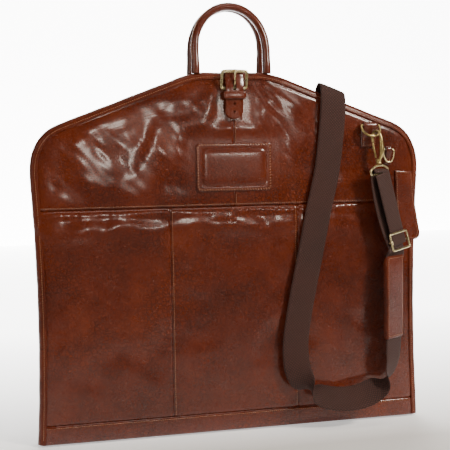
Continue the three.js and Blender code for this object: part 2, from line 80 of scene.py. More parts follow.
# ---- node helpers for materials
class Nodes:
    """A short way to write a material's node tree."""

    def __init__(self, name):
        self.material = bpy.data.materials.new(name)
        self.material.use_nodes = True
        self.tree = self.material.node_tree
        self.shader = self.tree.nodes["Principled BSDF"]

    def add(self, kind, **settings):
        node = self.tree.nodes.new("ShaderNode" + kind)
        for key, value in settings.items():
            setattr(node, key, value)
        return node

    def link(self, source, target):
        self.tree.links.new(source, target)

    def place(self, stretch=(1, 1, 1)):
        coords = self.add("TexCoord")
        mapping = self.add("Mapping")
        mapping.inputs["Scale"].default_value = stretch
        self.link(coords.outputs["Object"], mapping.inputs["Vector"])
        return mapping.outputs["Vector"]

    def noise(self, vector, scale, detail=3, roughness=0.55, distortion=0.0):
        node = self.add("TexNoise")
        node.inputs["Scale"].default_value = scale
        node.inputs["Detail"].default_value = detail
        node.inputs["Roughness"].default_value = roughness
        node.inputs["Distortion"].default_value = distortion
        self.link(vector, node.inputs["Vector"])
        return node.outputs["Fac"]

    def cells(self, vector, scale):
        node = self.add("TexVoronoi", feature="DISTANCE_TO_EDGE")
        node.inputs["Scale"].default_value = scale
        self.link(vector, node.inputs["Vector"])
        return node.outputs["Distance"]

    def ramp(self, value, stops):
        node = self.add("ValToRGB")
        elements = node.color_ramp.elements
        while len(elements) < len(stops):
            elements.new(0.5)
        for element, (place, colour) in zip(elements, stops):
            element.position = place
            element.color = (*colour, 1)
        self.link(value, node.inputs["Fac"])
        return node.outputs["Color"]

    def mix(self, factor, a, b):
        node = self.add("Mix", data_type="RGBA", blend_type="MIX")
        for socket, value in ((node.inputs[0], factor), (node.inputs[6], a), (node.inputs[7], b)):
            if isinstance(value, (int, float)):
                socket.default_value = value
            elif isinstance(value, tuple):
                socket.default_value = (*value, 1)
            else:
                self.link(value, socket)
        return node.outputs[2]

    def math(self, operation, a, b=0.0):
        node = self.add("Math", operation=operation)
        for socket, value in zip(node.inputs, (a, b)):
            if isinstance(value, (int, float)):
                socket.default_value = value
            else:
                self.link(value, socket)
        return node.outputs[0]

    def remap(self, value, low, high, out_low, out_high):
        node = self.add("MapRange")
        node.inputs["From Min"].default_value = low
        node.inputs["From Max"].default_value = high
        node.inputs["To Min"].default_value = out_low
        node.inputs["To Max"].default_value = out_high
        self.link(value, node.inputs["Value"])
        return node.outputs["Result"]

    def bump(self, height, strength, distance, under=None):
        node = self.add("Bump")
        node.inputs["Strength"].default_value = strength
        node.inputs["Distance"].default_value = distance
        self.link(height, node.inputs["Height"])
        if under is not None:
            self.link(under, node.inputs["Normal"])
        return node.outputs["Normal"]

    def set(self, **values):
        for key, value in values.items():
            socket = self.shader.inputs[key.replace("_", " ")]
            if isinstance(value, tuple):
                socket.default_value = (*value, 1)
            elif isinstance(value, (int, float)):
                socket.default_value = value
            else:
                self.link(value, socket)
        return self.material


def srgb(code):
    """A linear colour from a six-digit hex code."""
    parts = [int(code[i:i + 2], 16) / 255 for i in (0, 2, 4)]
    return tuple(c / 12.92 if c <= 0.04045 else ((c + 0.055) / 1.055) ** 2.4 for c in parts)


def leather(name, dark, middle, light, gloss=0.24, grain=1.0, coat=0.85):
    """Glazed cowhide: mottled dye, a fine net of creases, pores and a clear coat."""
    n = Nodes(name)
    at = n.place()
    warp = n.noise(at, 60, 2)
    mottle = n.noise(at, 7, 4, 0.6)
    dye = n.ramp(mottle, [(0.12, dark), (0.5, middle), (0.8, light)])
    streak = n.noise(n.place((1.0, 1.0, 0.35)), 34, 4, 0.65, 0.6)
    dye = n.mix(n.remap(streak, 0.35, 0.75, 0.0, 0.22), dye, dark)
    speckle = n.noise(at, 300, 3, 0.6)
    dye = n.mix(n.remap(speckle, 0.45, 0.75, 0.0, 0.5), dye, light)
    shifted = n.add("VectorMath", operation="MULTIPLY_ADD")
    wobble = n.add("TexNoise")
    wobble.inputs["Scale"].default_value = 90
    n.link(at, wobble.inputs["Vector"])
    n.link(wobble.outputs["Color"], shifted.inputs[0])
    shifted.inputs[1].default_value = (0.006, 0.006, 0.006)
    n.link(at, shifted.inputs[2])
    creases = n.cells(shifted.outputs["Vector"], 170)
    fine = n.cells(shifted.outputs["Vector"], 520)
    crease_line = n.remap(creases, 0.0, 0.14, 1.0, 0.0)
    patchy = n.remap(n.noise(at, 16, 2), 0.42, 0.62, 0.15, 1.0)
    crease_line = n.math("MULTIPLY", crease_line, patchy)
    dye = n.mix(n.math("MULTIPLY", crease_line, 0.55), dye, dark)
    rough = n.math("ADD", n.remap(warp, 0.3, 0.7, gloss - 0.05, gloss + 0.07), n.math("MULTIPLY", crease_line, 0.12))
    height = n.math("SUBTRACT", n.remap(fine, 0.0, 0.2, 0.0, 0.35), n.math("MULTIPLY", crease_line, 0.8))
    ripple = n.noise(n.place((1.0, 1.0, 0.7)), 42, 3, 0.5, 0.3)
    pebble = n.noise(n.place((1.0, 1.0, 0.8)), 170, 3, 0.6, 0.5)
    normal = n.bump(ripple, 0.5 * grain, 0.0028)
    normal = n.bump(pebble, 0.9 * grain, 0.0026, normal)
    normal = n.bump(height, 0.9 * grain, 0.0018, normal)
    return n.set(Base_Color=dye, Roughness=rough, Normal=normal, Coat_Weight=coat, Coat_Roughness=0.18,
                 Specular_IOR_Level=0.14, IOR=1.5)


def woven(name, dark, light, pitch, sheen=0.35, uv=None):
    """A twill weave, threads a little lighter than the gaps between them."""
    n = Nodes(name)
    at = n.place()
    axes = ("X", "Z")
    turn = n.add("VectorRotate", rotation_type="AXIS_ANGLE")
    turn.inputs["Axis"].default_value = (0, 1, 0)
    if uv:
        at = n.add("UVMap", uv_map=uv).outputs["UV"]
        axes = ("X", "Y")
        turn.inputs["Axis"].default_value = (0, 0, 1)
    turn.inputs["Angle"].default_value = math.radians(45)
    n.link(at, turn.inputs["Vector"])
    waves = []
    for direction in axes:
        wave = n.add("TexWave", wave_type="BANDS", bands_direction=direction)
        wave.inputs["Scale"].default_value = 0.314 / pitch
        wave.inputs["Distortion"].default_value = 0.6
        wave.inputs["Detail"].default_value = 1
        wave.inputs["Detail Scale"].default_value = 3
        n.link(turn.outputs["Vector"], wave.inputs["Vector"])
        waves.append(wave.outputs["Fac"])
    weave = n.math("MULTIPLY", waves[0], waves[1])
    fuzz = n.noise(at, 900, 2)
    tone = n.math("MULTIPLY", n.remap(weave, 0.0, 0.8, 0.35, 1.0), n.remap(fuzz, 0.3, 0.7, 0.8, 1.1))
    patches = n.noise(at, 12, 3)
    tone = n.math("MULTIPLY", tone, n.remap(patches, 0.3, 0.7, 0.85, 1.1))
    colour = n.ramp(tone, [(0.25, dark), (0.75, light)])
    normal = n.bump(weave, 0.8, 0.0007)
    return n.set(Base_Color=colour, Roughness=0.82, Normal=normal, Sheen_Weight=sheen, Sheen_Roughness=0.5)


def metal(name, base, worn, roughness=0.2):
    """Cast plated metal: slight tarnish and a faint hammered bump."""
    n = Nodes(name)
    at = n.place()
    tarnish = n.noise(at, 180, 4, 0.6)
    colour = n.ramp(tarnish, [(0.3, worn), (0.55, base)])
    rough = n.remap(n.noise(at, 320, 3), 0.3, 0.7, roughness - 0.05, roughness + 0.1)
    normal = n.bump(n.noise(at, 120, 1), 0.03, 0.0003)
    return n.set(Base_Color=colour, Metallic=1.0, Roughness=rough, Normal=normal)


def thread(name, colour, dark):
    n = Nodes(name)
    at = n.place()
    tone = n.ramp(n.noise(at, 1400, 2), [(0.3, dark), (0.7, colour)])
    return n.set(Base_Color=tone, Roughness=0.6, Sheen_Weight=0.3,
                 Normal=n.bump(n.noise(at, 2600, 1), 0.4, 0.0002))


M = {
    "leather": leather("glazed_leather", srgb("2f0d02"), srgb("601f05"), srgb("7c300a"), 0.28),
    "trim": leather("trim_leather", srgb("330f03"), srgb("591d07"), srgb("722d0d"), 0.28, 0.6),
    "satin": leather("satin_leather", srgb("330f03"), srgb("5b1f08"), srgb("722d0d"), 0.42, 0.7, 0.22),
    "webbing": woven("webbing", srgb("170805"), srgb("461f15"), 0.0032, 0.03, uv="weave"),
    "lining": woven("lining_cloth", srgb("241a15"), srgb("4a382e"), 0.0007, 0.2),
    "zip_tape": woven("zip_tape", srgb("1a100d"), srgb("38261f"), 0.0006, 0.2),
    "brass": metal("pale_brass", srgb("dccfa4"), srgb("c4b07c"), 0.28),
    "bronze": metal("aged_brass", srgb("b8a570"), srgb("8c7846"), 0.32),
    "thread": thread("thread", srgb("b98058"), srgb("84502f")),
}


# ---- mesh helpers
def finish_piece(obj, material, body=None, replaces=(), smooth=True):
    obj.data.materials.append(M[material])
    obj.data.polygons.foreach_set("use_smooth", [smooth] * len(obj.data.polygons))
    if body:
        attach(obj, body)
    if replaces:
        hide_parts(*replaces)
    return obj


def mesh_object(name, verts, faces):
    data = bpy.data.meshes.new(name)
    data.from_pydata([tuple(c * MM for c in v) for v in verts], [], [tuple(f) for f in faces])
    data.validate()
    data.update()
    obj = bpy.data.objects.new(name, data)
    bpy.context.scene.collection.objects.link(obj)
    return obj


def outward(obj):
    """Makes the faces of a closed mesh point outwards."""
    bm = bmesh.new()
    bm.from_mesh(obj.data)
    bmesh.ops.recalc_face_normals(bm, faces=bm.faces)
    bm.to_mesh(obj.data)
    bm.free()
    return obj


def skin(name, rows, close_rows=False, close_columns=False, caps=False):
    """A surface through rows of points, each row the same length."""
    rows = [list(map(Vector, row)) for row in rows]
    count, width = len(rows), len(rows[0])
    verts = [p for row in rows for p in row]
    faces = []
    for i in range(count if close_rows else count - 1):
        for j in range(width if close_columns else width - 1):
            a, b = i, (i + 1) % count
            c, d = j, (j + 1) % width
            faces.append((a * width + c, a * width + d, b * width + d, b * width + c))
    if caps:
        faces.append(tuple(range(width)))
        faces.append(tuple((count - 1) * width + j for j in reversed(range(width))))
    return outward(mesh_object(name, verts, faces))


def slab(name, rows, thickness, direction):
    """A sheet of the given thickness, its outer face through rows of points, closed round its edge."""
    rows = [[Vector(p) for p in row] for row in rows]
    back = [[p + Vector(direction) * thickness for p in row] for row in rows]
    count, width = len(rows), len(rows[0])
    verts = [p for row in rows for p in row] + [p for row in back for p in row]
    size = count * width
    faces = []
    for i in range(count - 1):
        for j in range(width - 1):
            a = i * width + j
            faces.append((a, a + 1, a + width + 1, a + width))
            faces.append((size + a, size + a + width, size + a + width + 1, size + a + 1))
    rim = list(range(width)) + [i * width + width - 1 for i in range(1, count)]
    rim += [(count - 1) * width + j for j in reversed(range(width - 1))]
    rim += [i * width for i in reversed(range(1, count - 1))]
    for a, b in zip(rim, rim[1:] + rim[:1]):
        faces.append((a, size + a, size + b, b))
    return outward(mesh_object(name, verts, faces))


# the sides of a box whose corners run through x, then y, then z
BOX_FACES = [(0, 1, 3, 2), (4, 6, 7, 5), (0, 4, 5, 1), (2, 3, 7, 6), (0, 2, 6, 4), (1, 5, 7, 3)]


def spline(points, step, closed=False):
    """Points about step apart along a smooth curve through the given points."""
    p = np.array(points, float)
    if closed:
        p = np.vstack([p[-1], p, p[0], p[1]])
    else:
        p = np.vstack([2 * p[0] - p[1], p, 2 * p[-1] - p[-2]])
    dense = []
    for a, b, c, d in zip(p, p[1:], p[2:], p[3:]):
        for t in np.linspace(0, 1, 24, endpoint=False):
            dense.append(0.5 * (2 * b + (c - a) * t + (2 * a - 5 * b + 4 * c - d) * t * t
                                + (3 * b - a - 3 * c + d) * t ** 3))
    if not closed:
        dense.append(p[-2])
    return resample(np.array(dense), step, closed)


def resample(points, step, closed=False):
    points = np.vstack([points, points[:1]]) if closed else points
    length = np.concatenate([[0], np.cumsum(np.linalg.norm(np.diff(points, axis=0), axis=1))])
    count = max(2, int(round(length[-1] / step)) + 1)
    at = np.linspace(0, length[-1], count)
    result = np.stack([np.interp(at, length, points[:, k]) for k in range(points.shape[1])], axis=1)
    return result[:-1] if closed else result


def tangents(path, closed=False):
    if closed:
        t = np.roll(path, -1, axis=0) - np.roll(path, 1, axis=0)
    else:
        t = np.gradient(path, axis=0)
    return t / np.linalg.norm(t, axis=1)[:, None]


def sweep(name, path, profile, side, closed=False, scale=None):
    """A closed profile of (across, up) offsets carried along a path. side gives the across direction."""
    t = tangents(path, closed)
    side = np.broadcast_to(np.array(side, float), path.shape)
    side = side - (side * t).sum(1)[:, None] * t
    side /= np.linalg.norm(side, axis=1)[:, None]
    up = np.cross(t, side)
    rows = []
    for i, (p, s, u) in enumerate(zip(path, side, up)):
        k = 1.0 if scale is None else scale[i]
        rows.append([p + k * (a * s + b * u) for a, b in profile])
    return skin(name, rows, close_rows=closed, close_columns=True, caps=not closed)


def round_profile(radius, sides=14, flat=1.0):
    angles = [2 * math.pi * i / sides for i in range(sides)]
    return [(radius * math.cos(a), radius * flat * math.sin(a)) for a in angles]


def wire(name, path, radius, closed=False, side=(0, 1, 0), sides=14, flat=1.0):
    return sweep(name, path, round_profile(radius, sides, flat), side, closed)


def join(name, objects):
    bpy.ops.object.select_all(action="DESELECT")
    for obj in objects:
        obj.select_set(True)
    bpy.context.view_layer.objects.active = objects[0]
    bpy.ops.object.join()
    objects[0].name = name
    objects[0].data.name = name
    return objects[0]


def stitch_row(name, path, normals, body, pitch=3.4, length=2.5, radius=0.34, slant=0.0):
    """A row of sewn stitches along a path, each a short thread that dips at both ends."""
    path = np.array(path, float)
    spots = resample(path, pitch)
    arc = np.concatenate([[0], np.cumsum(np.linalg.norm(np.diff(path, axis=0), axis=1))])
    at = np.linspace(0, arc[-1], len(spots))
    normals = np.array(normals, float)
    if normals.ndim == 1:
        normals = np.tile(normals, (len(path), 1))
    up = np.stack([np.interp(at, arc, normals[:, k]) for k in range(3)], axis=1)
    along = tangents(spots)
    verts, faces = [], []
    ring_at = [(-0.5, -0.9, 0.7), (-0.3, 0.35, 1.0), (0.0, 0.6, 1.05), (0.3, 0.35, 1.0), (0.5, -0.9, 0.7)]
    for p, t, u in zip(spots[:-1], along[:-1], up[:-1]):
        u = u / np.linalg.norm(u)
        s = np.cross(t, u)
        t = t * math.cos(slant) + s * math.sin(slant)
        s = np.cross(t, u)
        start = len(verts)
        middle = p
        for place, lift, girth in ring_at:
            centre = middle + t * place * length + u * lift * radius
            for k in range(6):
                a = 2 * math.pi * k / 6
                verts.append(centre + (s * math.cos(a) + u * math.sin(a)) * radius * girth)
        for i in range(4):
            for k in range(6):
                a, b = start + i * 6 + k, start + i * 6 + (k + 1) % 6
                faces.append((a, b, b + 6, a + 6))
        faces.append([start + k for k in reversed(range(6))])
        faces.append([start + 24 + k for k in range(6)])
    return finish_piece(outward(mesh_object(name, verts, faces)), "thread", body)


# ---- outline of a half, millimetres in X and Z
FACE, EDGE = 27.0, 19.0
POCKET_Z, HEM_Z, SPLIT = 351.0, 31.0, 100.0


def bend_points(a, b, c, count=60):
    t = np.linspace(0, 1, count)[:, None]
    return (1 - t) ** 2 * np.array(a) + 2 * (1 - t) * t * np.array(b) + t * t * np.array(c)


def half_outline(inset=0.0, step=1.5):
    """From the bottom right corner over the top to the bottom left one, moved inwards by inset."""
    right = np.vstack([
        bend_points((304, 0), (292, 200), (304, 400)),
        bend_points((304, 400), (306, 462), (256, 479))[1:],
        bend_points((256, 479), (170, 511.5), (84, 544))[1:],
        bend_points((84, 544), (65, 551.5), (44, 553))[1:],
    ])
    left = right[::-1] * (-1, 1)
    line = resample(np.vstack([right, left]), step)
    along = tangents(line)
    return line + inset * np.stack([-along[:, 1], along[:, 0]], axis=1)


OUTLINE = half_outline()


def half_width(z, inset=0.0):
    line = half_outline(inset, 3.0)
    right = line[:len(line) // 2 + 1]
    return np.interp(z, right[:, 1], right[:, 0])


def edge_distance(x, z):
    flat_x, flat_z = np.ravel(x), np.ravel(z)
    best = np.full(flat_x.shape, 1e9)
    for start in range(0, len(flat_x), 4000):
        s = slice(start, start + 4000)
        gap = (flat_x[s, None] - OUTLINE[None, :, 0]) ** 2 + (flat_z[s, None] - OUTLINE[None, :, 1]) ** 2
        best[s] = np.sqrt(gap.min(axis=1))
    return best.reshape(np.shape(x))


# ---- how the leather lies
GRID = 8.0
GRID_X = np.arange(-312, 312.1, GRID)
GRID_Z = np.arange(0, 560.1, GRID)


def fold_noise(x, z, seed, scale):
    """Smooth seeded waves in many directions, about -1 to 1."""
    rng = np.random.default_rng(seed)
    total = np.zeros(np.shape(x))
    for _ in range(14):
        angle, phase = rng.uniform(0, 2 * math.pi, 2)
        rate = rng.uniform(0.6, 1.5) * 2 * math.pi / scale
        total += np.sin(rate * (math.cos(angle) * x + math.sin(angle) * z) + phase)
    return total / 4.5


def settled_leather():
    """A leather sheet sewn down along the outline and the seams, cut a little large, settled by a cloth simulation."""
    xx, zz = np.meshgrid(GRID_X, GRID_Z)
    rest = 0.9 * fold_noise(xx, zz, 5, 70)
    rows = [[(x, r, z) for x, r, z in zip(a, b, c)] for a, b, c in zip(xx, rest, zz)]
    width = len(GRID_X)
    verts = [p for row in rows for p in row]
    faces = [(i * width + j, i * width + j + 1, (i + 1) * width + j + 1, (i + 1) * width + j)
             for i in range(len(GRID_Z) - 1) for j in range(width - 1)]
    sheet = mesh_object("settling_sheet", verts, faces)
    near = edge_distance(xx, zz)
    outside = np.abs(xx) > half_width(zz)
    sewn = (near < 10) | outside | (np.abs(zz - POCKET_Z) < 5) | (zz < HEM_Z + 4)
    sewn |= (np.abs(np.abs(xx) - SPLIT) < 5) & (zz < POCKET_Z)
    group = sheet.vertex_groups.new(name="sewn")
    group.add([int(i) for i in np.flatnonzero(sewn.ravel())], 1.0, "REPLACE")
    cloth = sheet.modifiers.new("cloth", "CLOTH")
    s = cloth.settings
    s.quality = 6
    s.mass = 0.9
    s.tension_stiffness = s.compression_stiffness = 12
    s.shear_stiffness = 6
    s.bending_stiffness = 1.2
    s.shrink_min = -0.035
    s.use_pressure = True
    s.uniform_pressure_force = 1.5
    s.effector_weights.gravity = 0.0
    s.vertex_group_mass = "sewn"
    s.air_damping = 4
    cloth.collision_settings.use_collision = False
    scene = bpy.context.scene
    for number in range(1, 27):
        scene.frame_set(number)
    shape = sheet.evaluated_get(bpy.context.evaluated_depsgraph_get()).to_mesh()
    y = np.empty(len(shape.vertices) * 3)
    shape.vertices.foreach_get("co", y)
    y = y.reshape(-1, 3)[:, 1].reshape(xx.shape) / MM
    scene.frame_set(1)
    bpy.data.objects.remove(sheet, do_unlink=True)
    y = -(y - np.median(y))
    for _ in range(3):
        y[1:-1, 1:-1] = (y[1:-1, 1:-1] * 2 + y[:-2, 1:-1] + y[2:, 1:-1] + y[1:-1, :-2] + y[1:-1, 2:]) / 6
    return np.clip(y, -4, 4)


SETTLED = settled_leather()
FITTINGS = [(-64, 64, 369, 452), (-20, 20, 486, 560), (202, 236, 430, 488), (240, 262, 402, 440),
            (254, 312, 284, 408)]


def settled_at(x, z, flip=False):
    """The settled sheet's height, read between its grid points."""
    x = -x if flip else x
    gx = np.clip((x - GRID_X[0]) / GRID, 0, len(GRID_X) - 1.001)
    gz = np.clip((z - GRID_Z[0]) / GRID, 0, len(GRID_Z) - 1.001)
    i, j = gz.astype(int), gx.astype(int)
    fz, fx = gz - i, gx - j
    fx, fz = fx * fx * (3 - 2 * fx), fz * fz * (3 - 2 * fz)
    s = SETTLED
    return ((s[i, j] * (1 - fx) + s[i, j + 1] * fx) * (1 - fz)
            + (s[i + 1, j] * (1 - fx) + s[i + 1, j + 1] * fx) * fz)


def quiet(x, z):
    """0 over the fittings, where the leather lies flat, and 1 away from them."""
    result = np.ones(np.shape(x))
    for x0, x1, z0, z1 in FITTINGS:
        away = np.hypot(np.maximum(np.maximum(x0 - x, x - x1), 0), np.maximum(np.maximum(z0 - z, z - z1), 0))
        result = np.minimum(result, np.clip(away / 26, 0, 1))
    return result * result * (3 - 2 * result)


def lie(x, z, back=False, inset=0.0):
    """How far out from the fold plane the outer leather lies."""
    x, z = np.asarray(x, float), np.asarray(z, float)
    d = np.maximum(edge_distance(x, z) - inset, 0)
    out = EDGE + (FACE - EDGE) * (1 - np.exp(-d / 9))
    drawn = 0.26 + 0.04 * np.clip((z - 330) / 40, 0, 1) + 0.3 * np.exp(-((z - 325) / 22) ** 2)
    loose = settled_at(x, z, back) * drawn
    loose = loose + 0.45 * fold_noise(x, z * 0.4, 21 if back else 20, 40) * np.clip((z - 330) / 60, 0.3, 1)
    loose = loose + 0.2 * fold_noise(x + 0.7 * z, z * 0.55, 31, 20) * np.clip((z - 320) / 60, 0.35, 1)
    fan = np.arctan2(z - 590, x) * 15 + 0.7 * np.sin(np.hypot(x, z - 590) * 0.05)
    loose = loose + 0.75 * np.sin(fan) * np.exp(-(x / 95) ** 2) * np.clip((z - 448) / 45, 0, 1)
    loose = np.clip(loose, -2.4, 2.4) * np.clip((d - 6) / 26, 0, 1)
    free = np.ones(np.shape(x)) if back else quiet(x, z)
    out = out + loose * free
    line = np.abs(z - POCKET_Z)
    out = out - 0.8 * np.exp(-line / 1.4) - 0.4 * np.exp(-line / 7) * (z > POCKET_Z)
    pucker = 0.3 * np.sin(x * 0.62 + 1.7 * np.sin(x * 0.043)) * np.exp(-line / 9)
    swell = 1.8 + 1.1 * np.sin(x * 0.021 + 0.6) + 0.6 * np.sin(x * 0.057 + 2.0)
    roll = 1.5 * np.exp(-((POCKET_Z - z - 7) / 5) ** 2) + swell * np.exp(-((z - 322) / 17) ** 2)
    out = out + (roll * (0.25 + 0.75 * free) + pucker) * (z < POCKET_Z)
    line = np.abs(z - HEM_Z)
    out = out - 1.3 * np.exp(-line / 1.7) + 0.25 * np.sin(x * 0.5 + 2) * np.exp(-line / 8)
    if not back:
        for place in (-SPLIT, SPLIT):
            line = np.abs(x - place)
            sewn = (z < POCKET_Z) & (z > HEM_Z)
            ripple = 0.22 * np.sin(z * 0.55 + 1.3 * np.sin(z * 0.05)) * np.exp(-line / 8)
            out = out + (ripple - 0.4 * np.exp(-line / 1.2) + 0.22 * np.exp(-((line - 7) / 5) ** 2)) * sewn
        line = np.abs(x)
        out = out - 0.6 * np.exp(-line / 1.3) * (z > POCKET_Z) * free
    out = out - 0.7 * np.exp(-((d - 12.4) / 1.1) ** 2)
    return out - 3.2 * np.exp(-z / 6)


def panel(name, left, right, low, high, body, nodes, back=False, inset=0.0, under=0.0, thick=1.8,
          material="leather", step=3.4, margin=2.5):
    """A leather panel between two lines of x, which are numbers or None for the outline."""
    side = 1 if back else -1
    zs = np.linspace(low, high, max(3, int((high - low) / step) + 1))
    widths = np.maximum(half_width(zs, inset + margin), 1.0)
    lefts = -widths if left is None else np.full(zs.shape, float(left))
    rights = widths if right is None else np.full(zs.shape, float(right))
    columns = max(3, int(np.max(rights - lefts) / step) + 1)
    u = np.linspace(0, 1, columns)
    x = lefts[:, None] + (rights - lefts)[:, None] * u[None, :]
    z = np.repeat(zs[:, None], columns, axis=1)
    y = side * (lie(x, z, back, inset) - under)
    rows = np.stack([x, y, z], axis=2)
    return finish_piece(slab(name, rows, thick, (0, -side, 0)), material, body, nodes)


def on_face(points, lift=0.0, back=False, inset=0.0):
    """Points (x, z) placed on the outer leather."""
    points = np.array(points, float)
    y = (lie(points[:, 0], points[:, 1], back, inset) + lift) * (1 if back else -1)
    return np.stack([points[:, 0], y, points[:, 1]], axis=1)


# ---- the outer leather
TOP = 551.0
SEAM = 0.12
panel("upper_leather_left", None, -SEAM, POCKET_Z + SEAM, TOP, "front_half", ["front_panel_upper_left"])
panel("upper_leather_right", SEAM, None, POCKET_Z + SEAM, TOP, "front_half", ["front_panel_upper_right"])
panel("pocket_leather_left", None, -SPLIT - SEAM, HEM_Z + SEAM, POCKET_Z - SEAM, "front_half", ["pocket_panel_left"])
panel("pocket_leather_centre", -SPLIT + SEAM, SPLIT - SEAM, HEM_Z + SEAM, POCKET_Z - SEAM, "front_half",
      ["pocket_panel_centre"])
panel("pocket_leather_right", SPLIT + SEAM, None, HEM_Z + SEAM, POCKET_Z - SEAM, "front_half",
      ["pocket_panel_right"])
panel("hem_leather_front", None, None, 2.6, HEM_Z - SEAM, "front_half", ["front_band"], step=3.0)
panel("lining_cloth_front", None, None, 8, 545, "front_half", ["front_lining"], under=2.6, thick=0.6,
      material="lining", step=12, margin=7)
panel("back_leather_upper", None, None, POCKET_Z + SEAM, TOP - 4, "back_half", ["back_panel_upper"], True, 4,
      step=5)
panel("back_leather_lower", None, None, HEM_Z + SEAM, POCKET_Z - SEAM, "back_half", ["back_panel_lower"], True, 4,
      step=5)
panel("hem_leather_back", None, None, 2.6, HEM_Z - SEAM, "back_half", ["back_band"], True, 4, step=4)


# name, whether it is the back one, how far its outline lies inside the front one
HALVES = (("front", False, 0.0), ("back", True, 4.0))


def edge_strip(name, profile, body, nodes, back, inset, material, step=3.0, waves=0.0, low=2.4):
    """A strip along the outline. profile holds (distance in from the edge, distance out from the fold plane)."""
    side = 1 if back else -1
    line = half_outline(inset, step)
    line = line[line[:, 1] >= low]
    along = tangents(line)
    inward = np.stack([-along[:, 1], along[:, 0]], axis=1)
    rows = []
    for i, ((x, z), (nx, nz)) in enumerate(zip(line, inward)):
        sink = 3.2 * math.exp(-z / 6)
        wave = waves * math.sin(i * step * 0.11) * math.sin(i * step * 0.037 + 1)
        rows.append([(x + nx * (d + wave), side * (out - sink), z + nz * (d + wave)) for d, out in profile])
    return finish_piece(skin(name, rows, close_columns=True, caps=True), material, body, nodes)


def rolled(d):
    return EDGE + (FACE - EDGE) * (1 - math.exp(-max(d, 0) / 9))


BINDING = [(10.3, rolled(10.3) - 0.6), (10.6, rolled(10.6) + 0.5), (9.7, rolled(9.7) + 1.3),
           (7.5, rolled(7.5) + 1.5), (6.6, rolled(6.6) + 1.1), (5.6, rolled(5.6) + 1.6), (3.6, rolled(3.6) + 2.0),
           (1.6, rolled(1.6) + 1.9), (0.2, 19.9), (-0.5, 18.4), (-0.7, 16.8), (-0.3, 15.2), (0.8, 14.0),
           (3.0, 13.5), (7.5, 13.7), (8.0, 14.6), (3.4, 14.9), (1.8, 16.0), (1.6, 17.4), (2.6, 18.8),
           (5.5, rolled(5.5) - 0.6)]
GUSSET = [(2.9, 15.6), (2.3, 14.4), (1.6, 12.6), (1.7, 11.2), (2.8, 9.8), (4.2, 9.6), (4.4, 10.6), (3.6, 11.6),
          (3.4, 12.8), (4.2, 14.6), (4.6, 15.6)]
for half_name, back, inset in HALVES:
    body = half_name + "_half"
    edge_strip(half_name + "_edge_binding", BINDING, body, [half_name + "_binding"], back, inset, "satin", waves=0.25)
    gussets = [f"{half_name}_gusset_{part}" for part in ("left", "right", "crown")]
    edge_strip(half_name + "_gusset_leather", GUSSET, body, gussets, back, inset, "leather", waves=0.5)
    side = 1 if back else -1
    line = half_outline(inset + 6.6, 1.0)
    line = line[line[:, 1] > 8]
    places = np.stack([line[:, 0], np.full(len(line), side * (rolled(6.6) + 1.25)), line[:, 1]], axis=1)
    stitch_row(half_name + "_binding_stitches", places, (0, side, 0), body)


# ---- inner panels and zips
def inner_panel(name, left, right, body, node, back, inset):
    side = 1 if back else -1
    zs = np.linspace(22, TOP - inset, 60)
    widths = np.maximum(half_width(zs, inset + 2), 6.0)
    lefts = -widths if left is None else np.full(zs.shape, float(left))
    rights = widths if right is None else np.full(zs.shape, float(right))
    u = np.linspace(0, 1, 34)
    x = lefts[:, None] + (rights - lefts)[:, None] * u[None, :]
    z = np.repeat(zs[:, None], 34, axis=1)
    y = side * (9.3 + 0.5 * fold_noise(x, z, 31 if back else 32, 90))
    piece = slab(name, np.stack([x, y, z], axis=2), 1.6, (0, side, 0))
    return finish_piece(piece, "leather", body, [node])


def zip_chain(name, body, node, back, inset):
    side = 1 if back else -1
    top = 546 - inset
    tape_rows = [[(x, side * 9.9, z) for x in (-4.6, -1.5, 1.5, 4.6)] for z in np.linspace(22, top, 40)]
    tape = slab(name + "_tape", tape_rows, 0.7, (0, side, 0))
    finish_piece(tape, "zip_tape", body, [node])
    verts, faces = [], []
    for k, z in enumerate(np.arange(26, top - 6, 1.9)):
        low, high = (-2.3, 0.9) if k % 2 else (-0.9, 2.3)
        start = len(verts)
        for x in (low, high):
            for y in (side * 9.0, side * 9.8):
                for dz in (-0.6, 0.6):
                    verts.append((x, y, z + dz))
        faces += [tuple(start + i for i in f) for f in BOX_FACES]
    finish_piece(outward(mesh_object(name + "_teeth", verts, faces)), "brass", body, smooth=False)


for half_name, back, inset in HALVES:
    body = half_name + "_half"
    inner_panel(half_name + "_inner_leather_left", None, -4.8, body, half_name + "_inner_panel_left", back, inset)
    inner_panel(half_name + "_inner_leather_right", 4.8, None, body, half_name + "_inner_panel_right", back, inset)
    zip_chain(half_name + "_zip", body, half_name + "_zip_chain", back, inset)


# ---- the fold along the bottom
def fold_piece(name, profile, half_length, thickness, material, nodes):
    """A strip across the fold, its section given by (y, z), bending between the halves."""
    profile = resample(np.array(profile, float), 2.0)
    normal = np.stack([-tangents(profile)[:, 1], tangents(profile)[:, 0]], axis=1)
    rows = []
    for x in np.linspace(-half_length, half_length, 90):
        soft = 0.25 * math.sin(x * 0.09) * math.sin(x * 0.021 + 1)
        rows.append([(x, y, z + max(soft, 0) * (abs(y) < 18)) for y, z in profile])
    inner = [[(x, y + n[0] * thickness, z + n[1] * thickness) for (x, y, z), n in zip(row, normal)] for row in rows]
    section = [row + back[::-1] for row, back in zip(rows, inner)]
    piece = skin(name, section, close_columns=True, caps=True)
    finish_piece(piece, material, None, nodes)
    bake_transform(piece)
    return piece


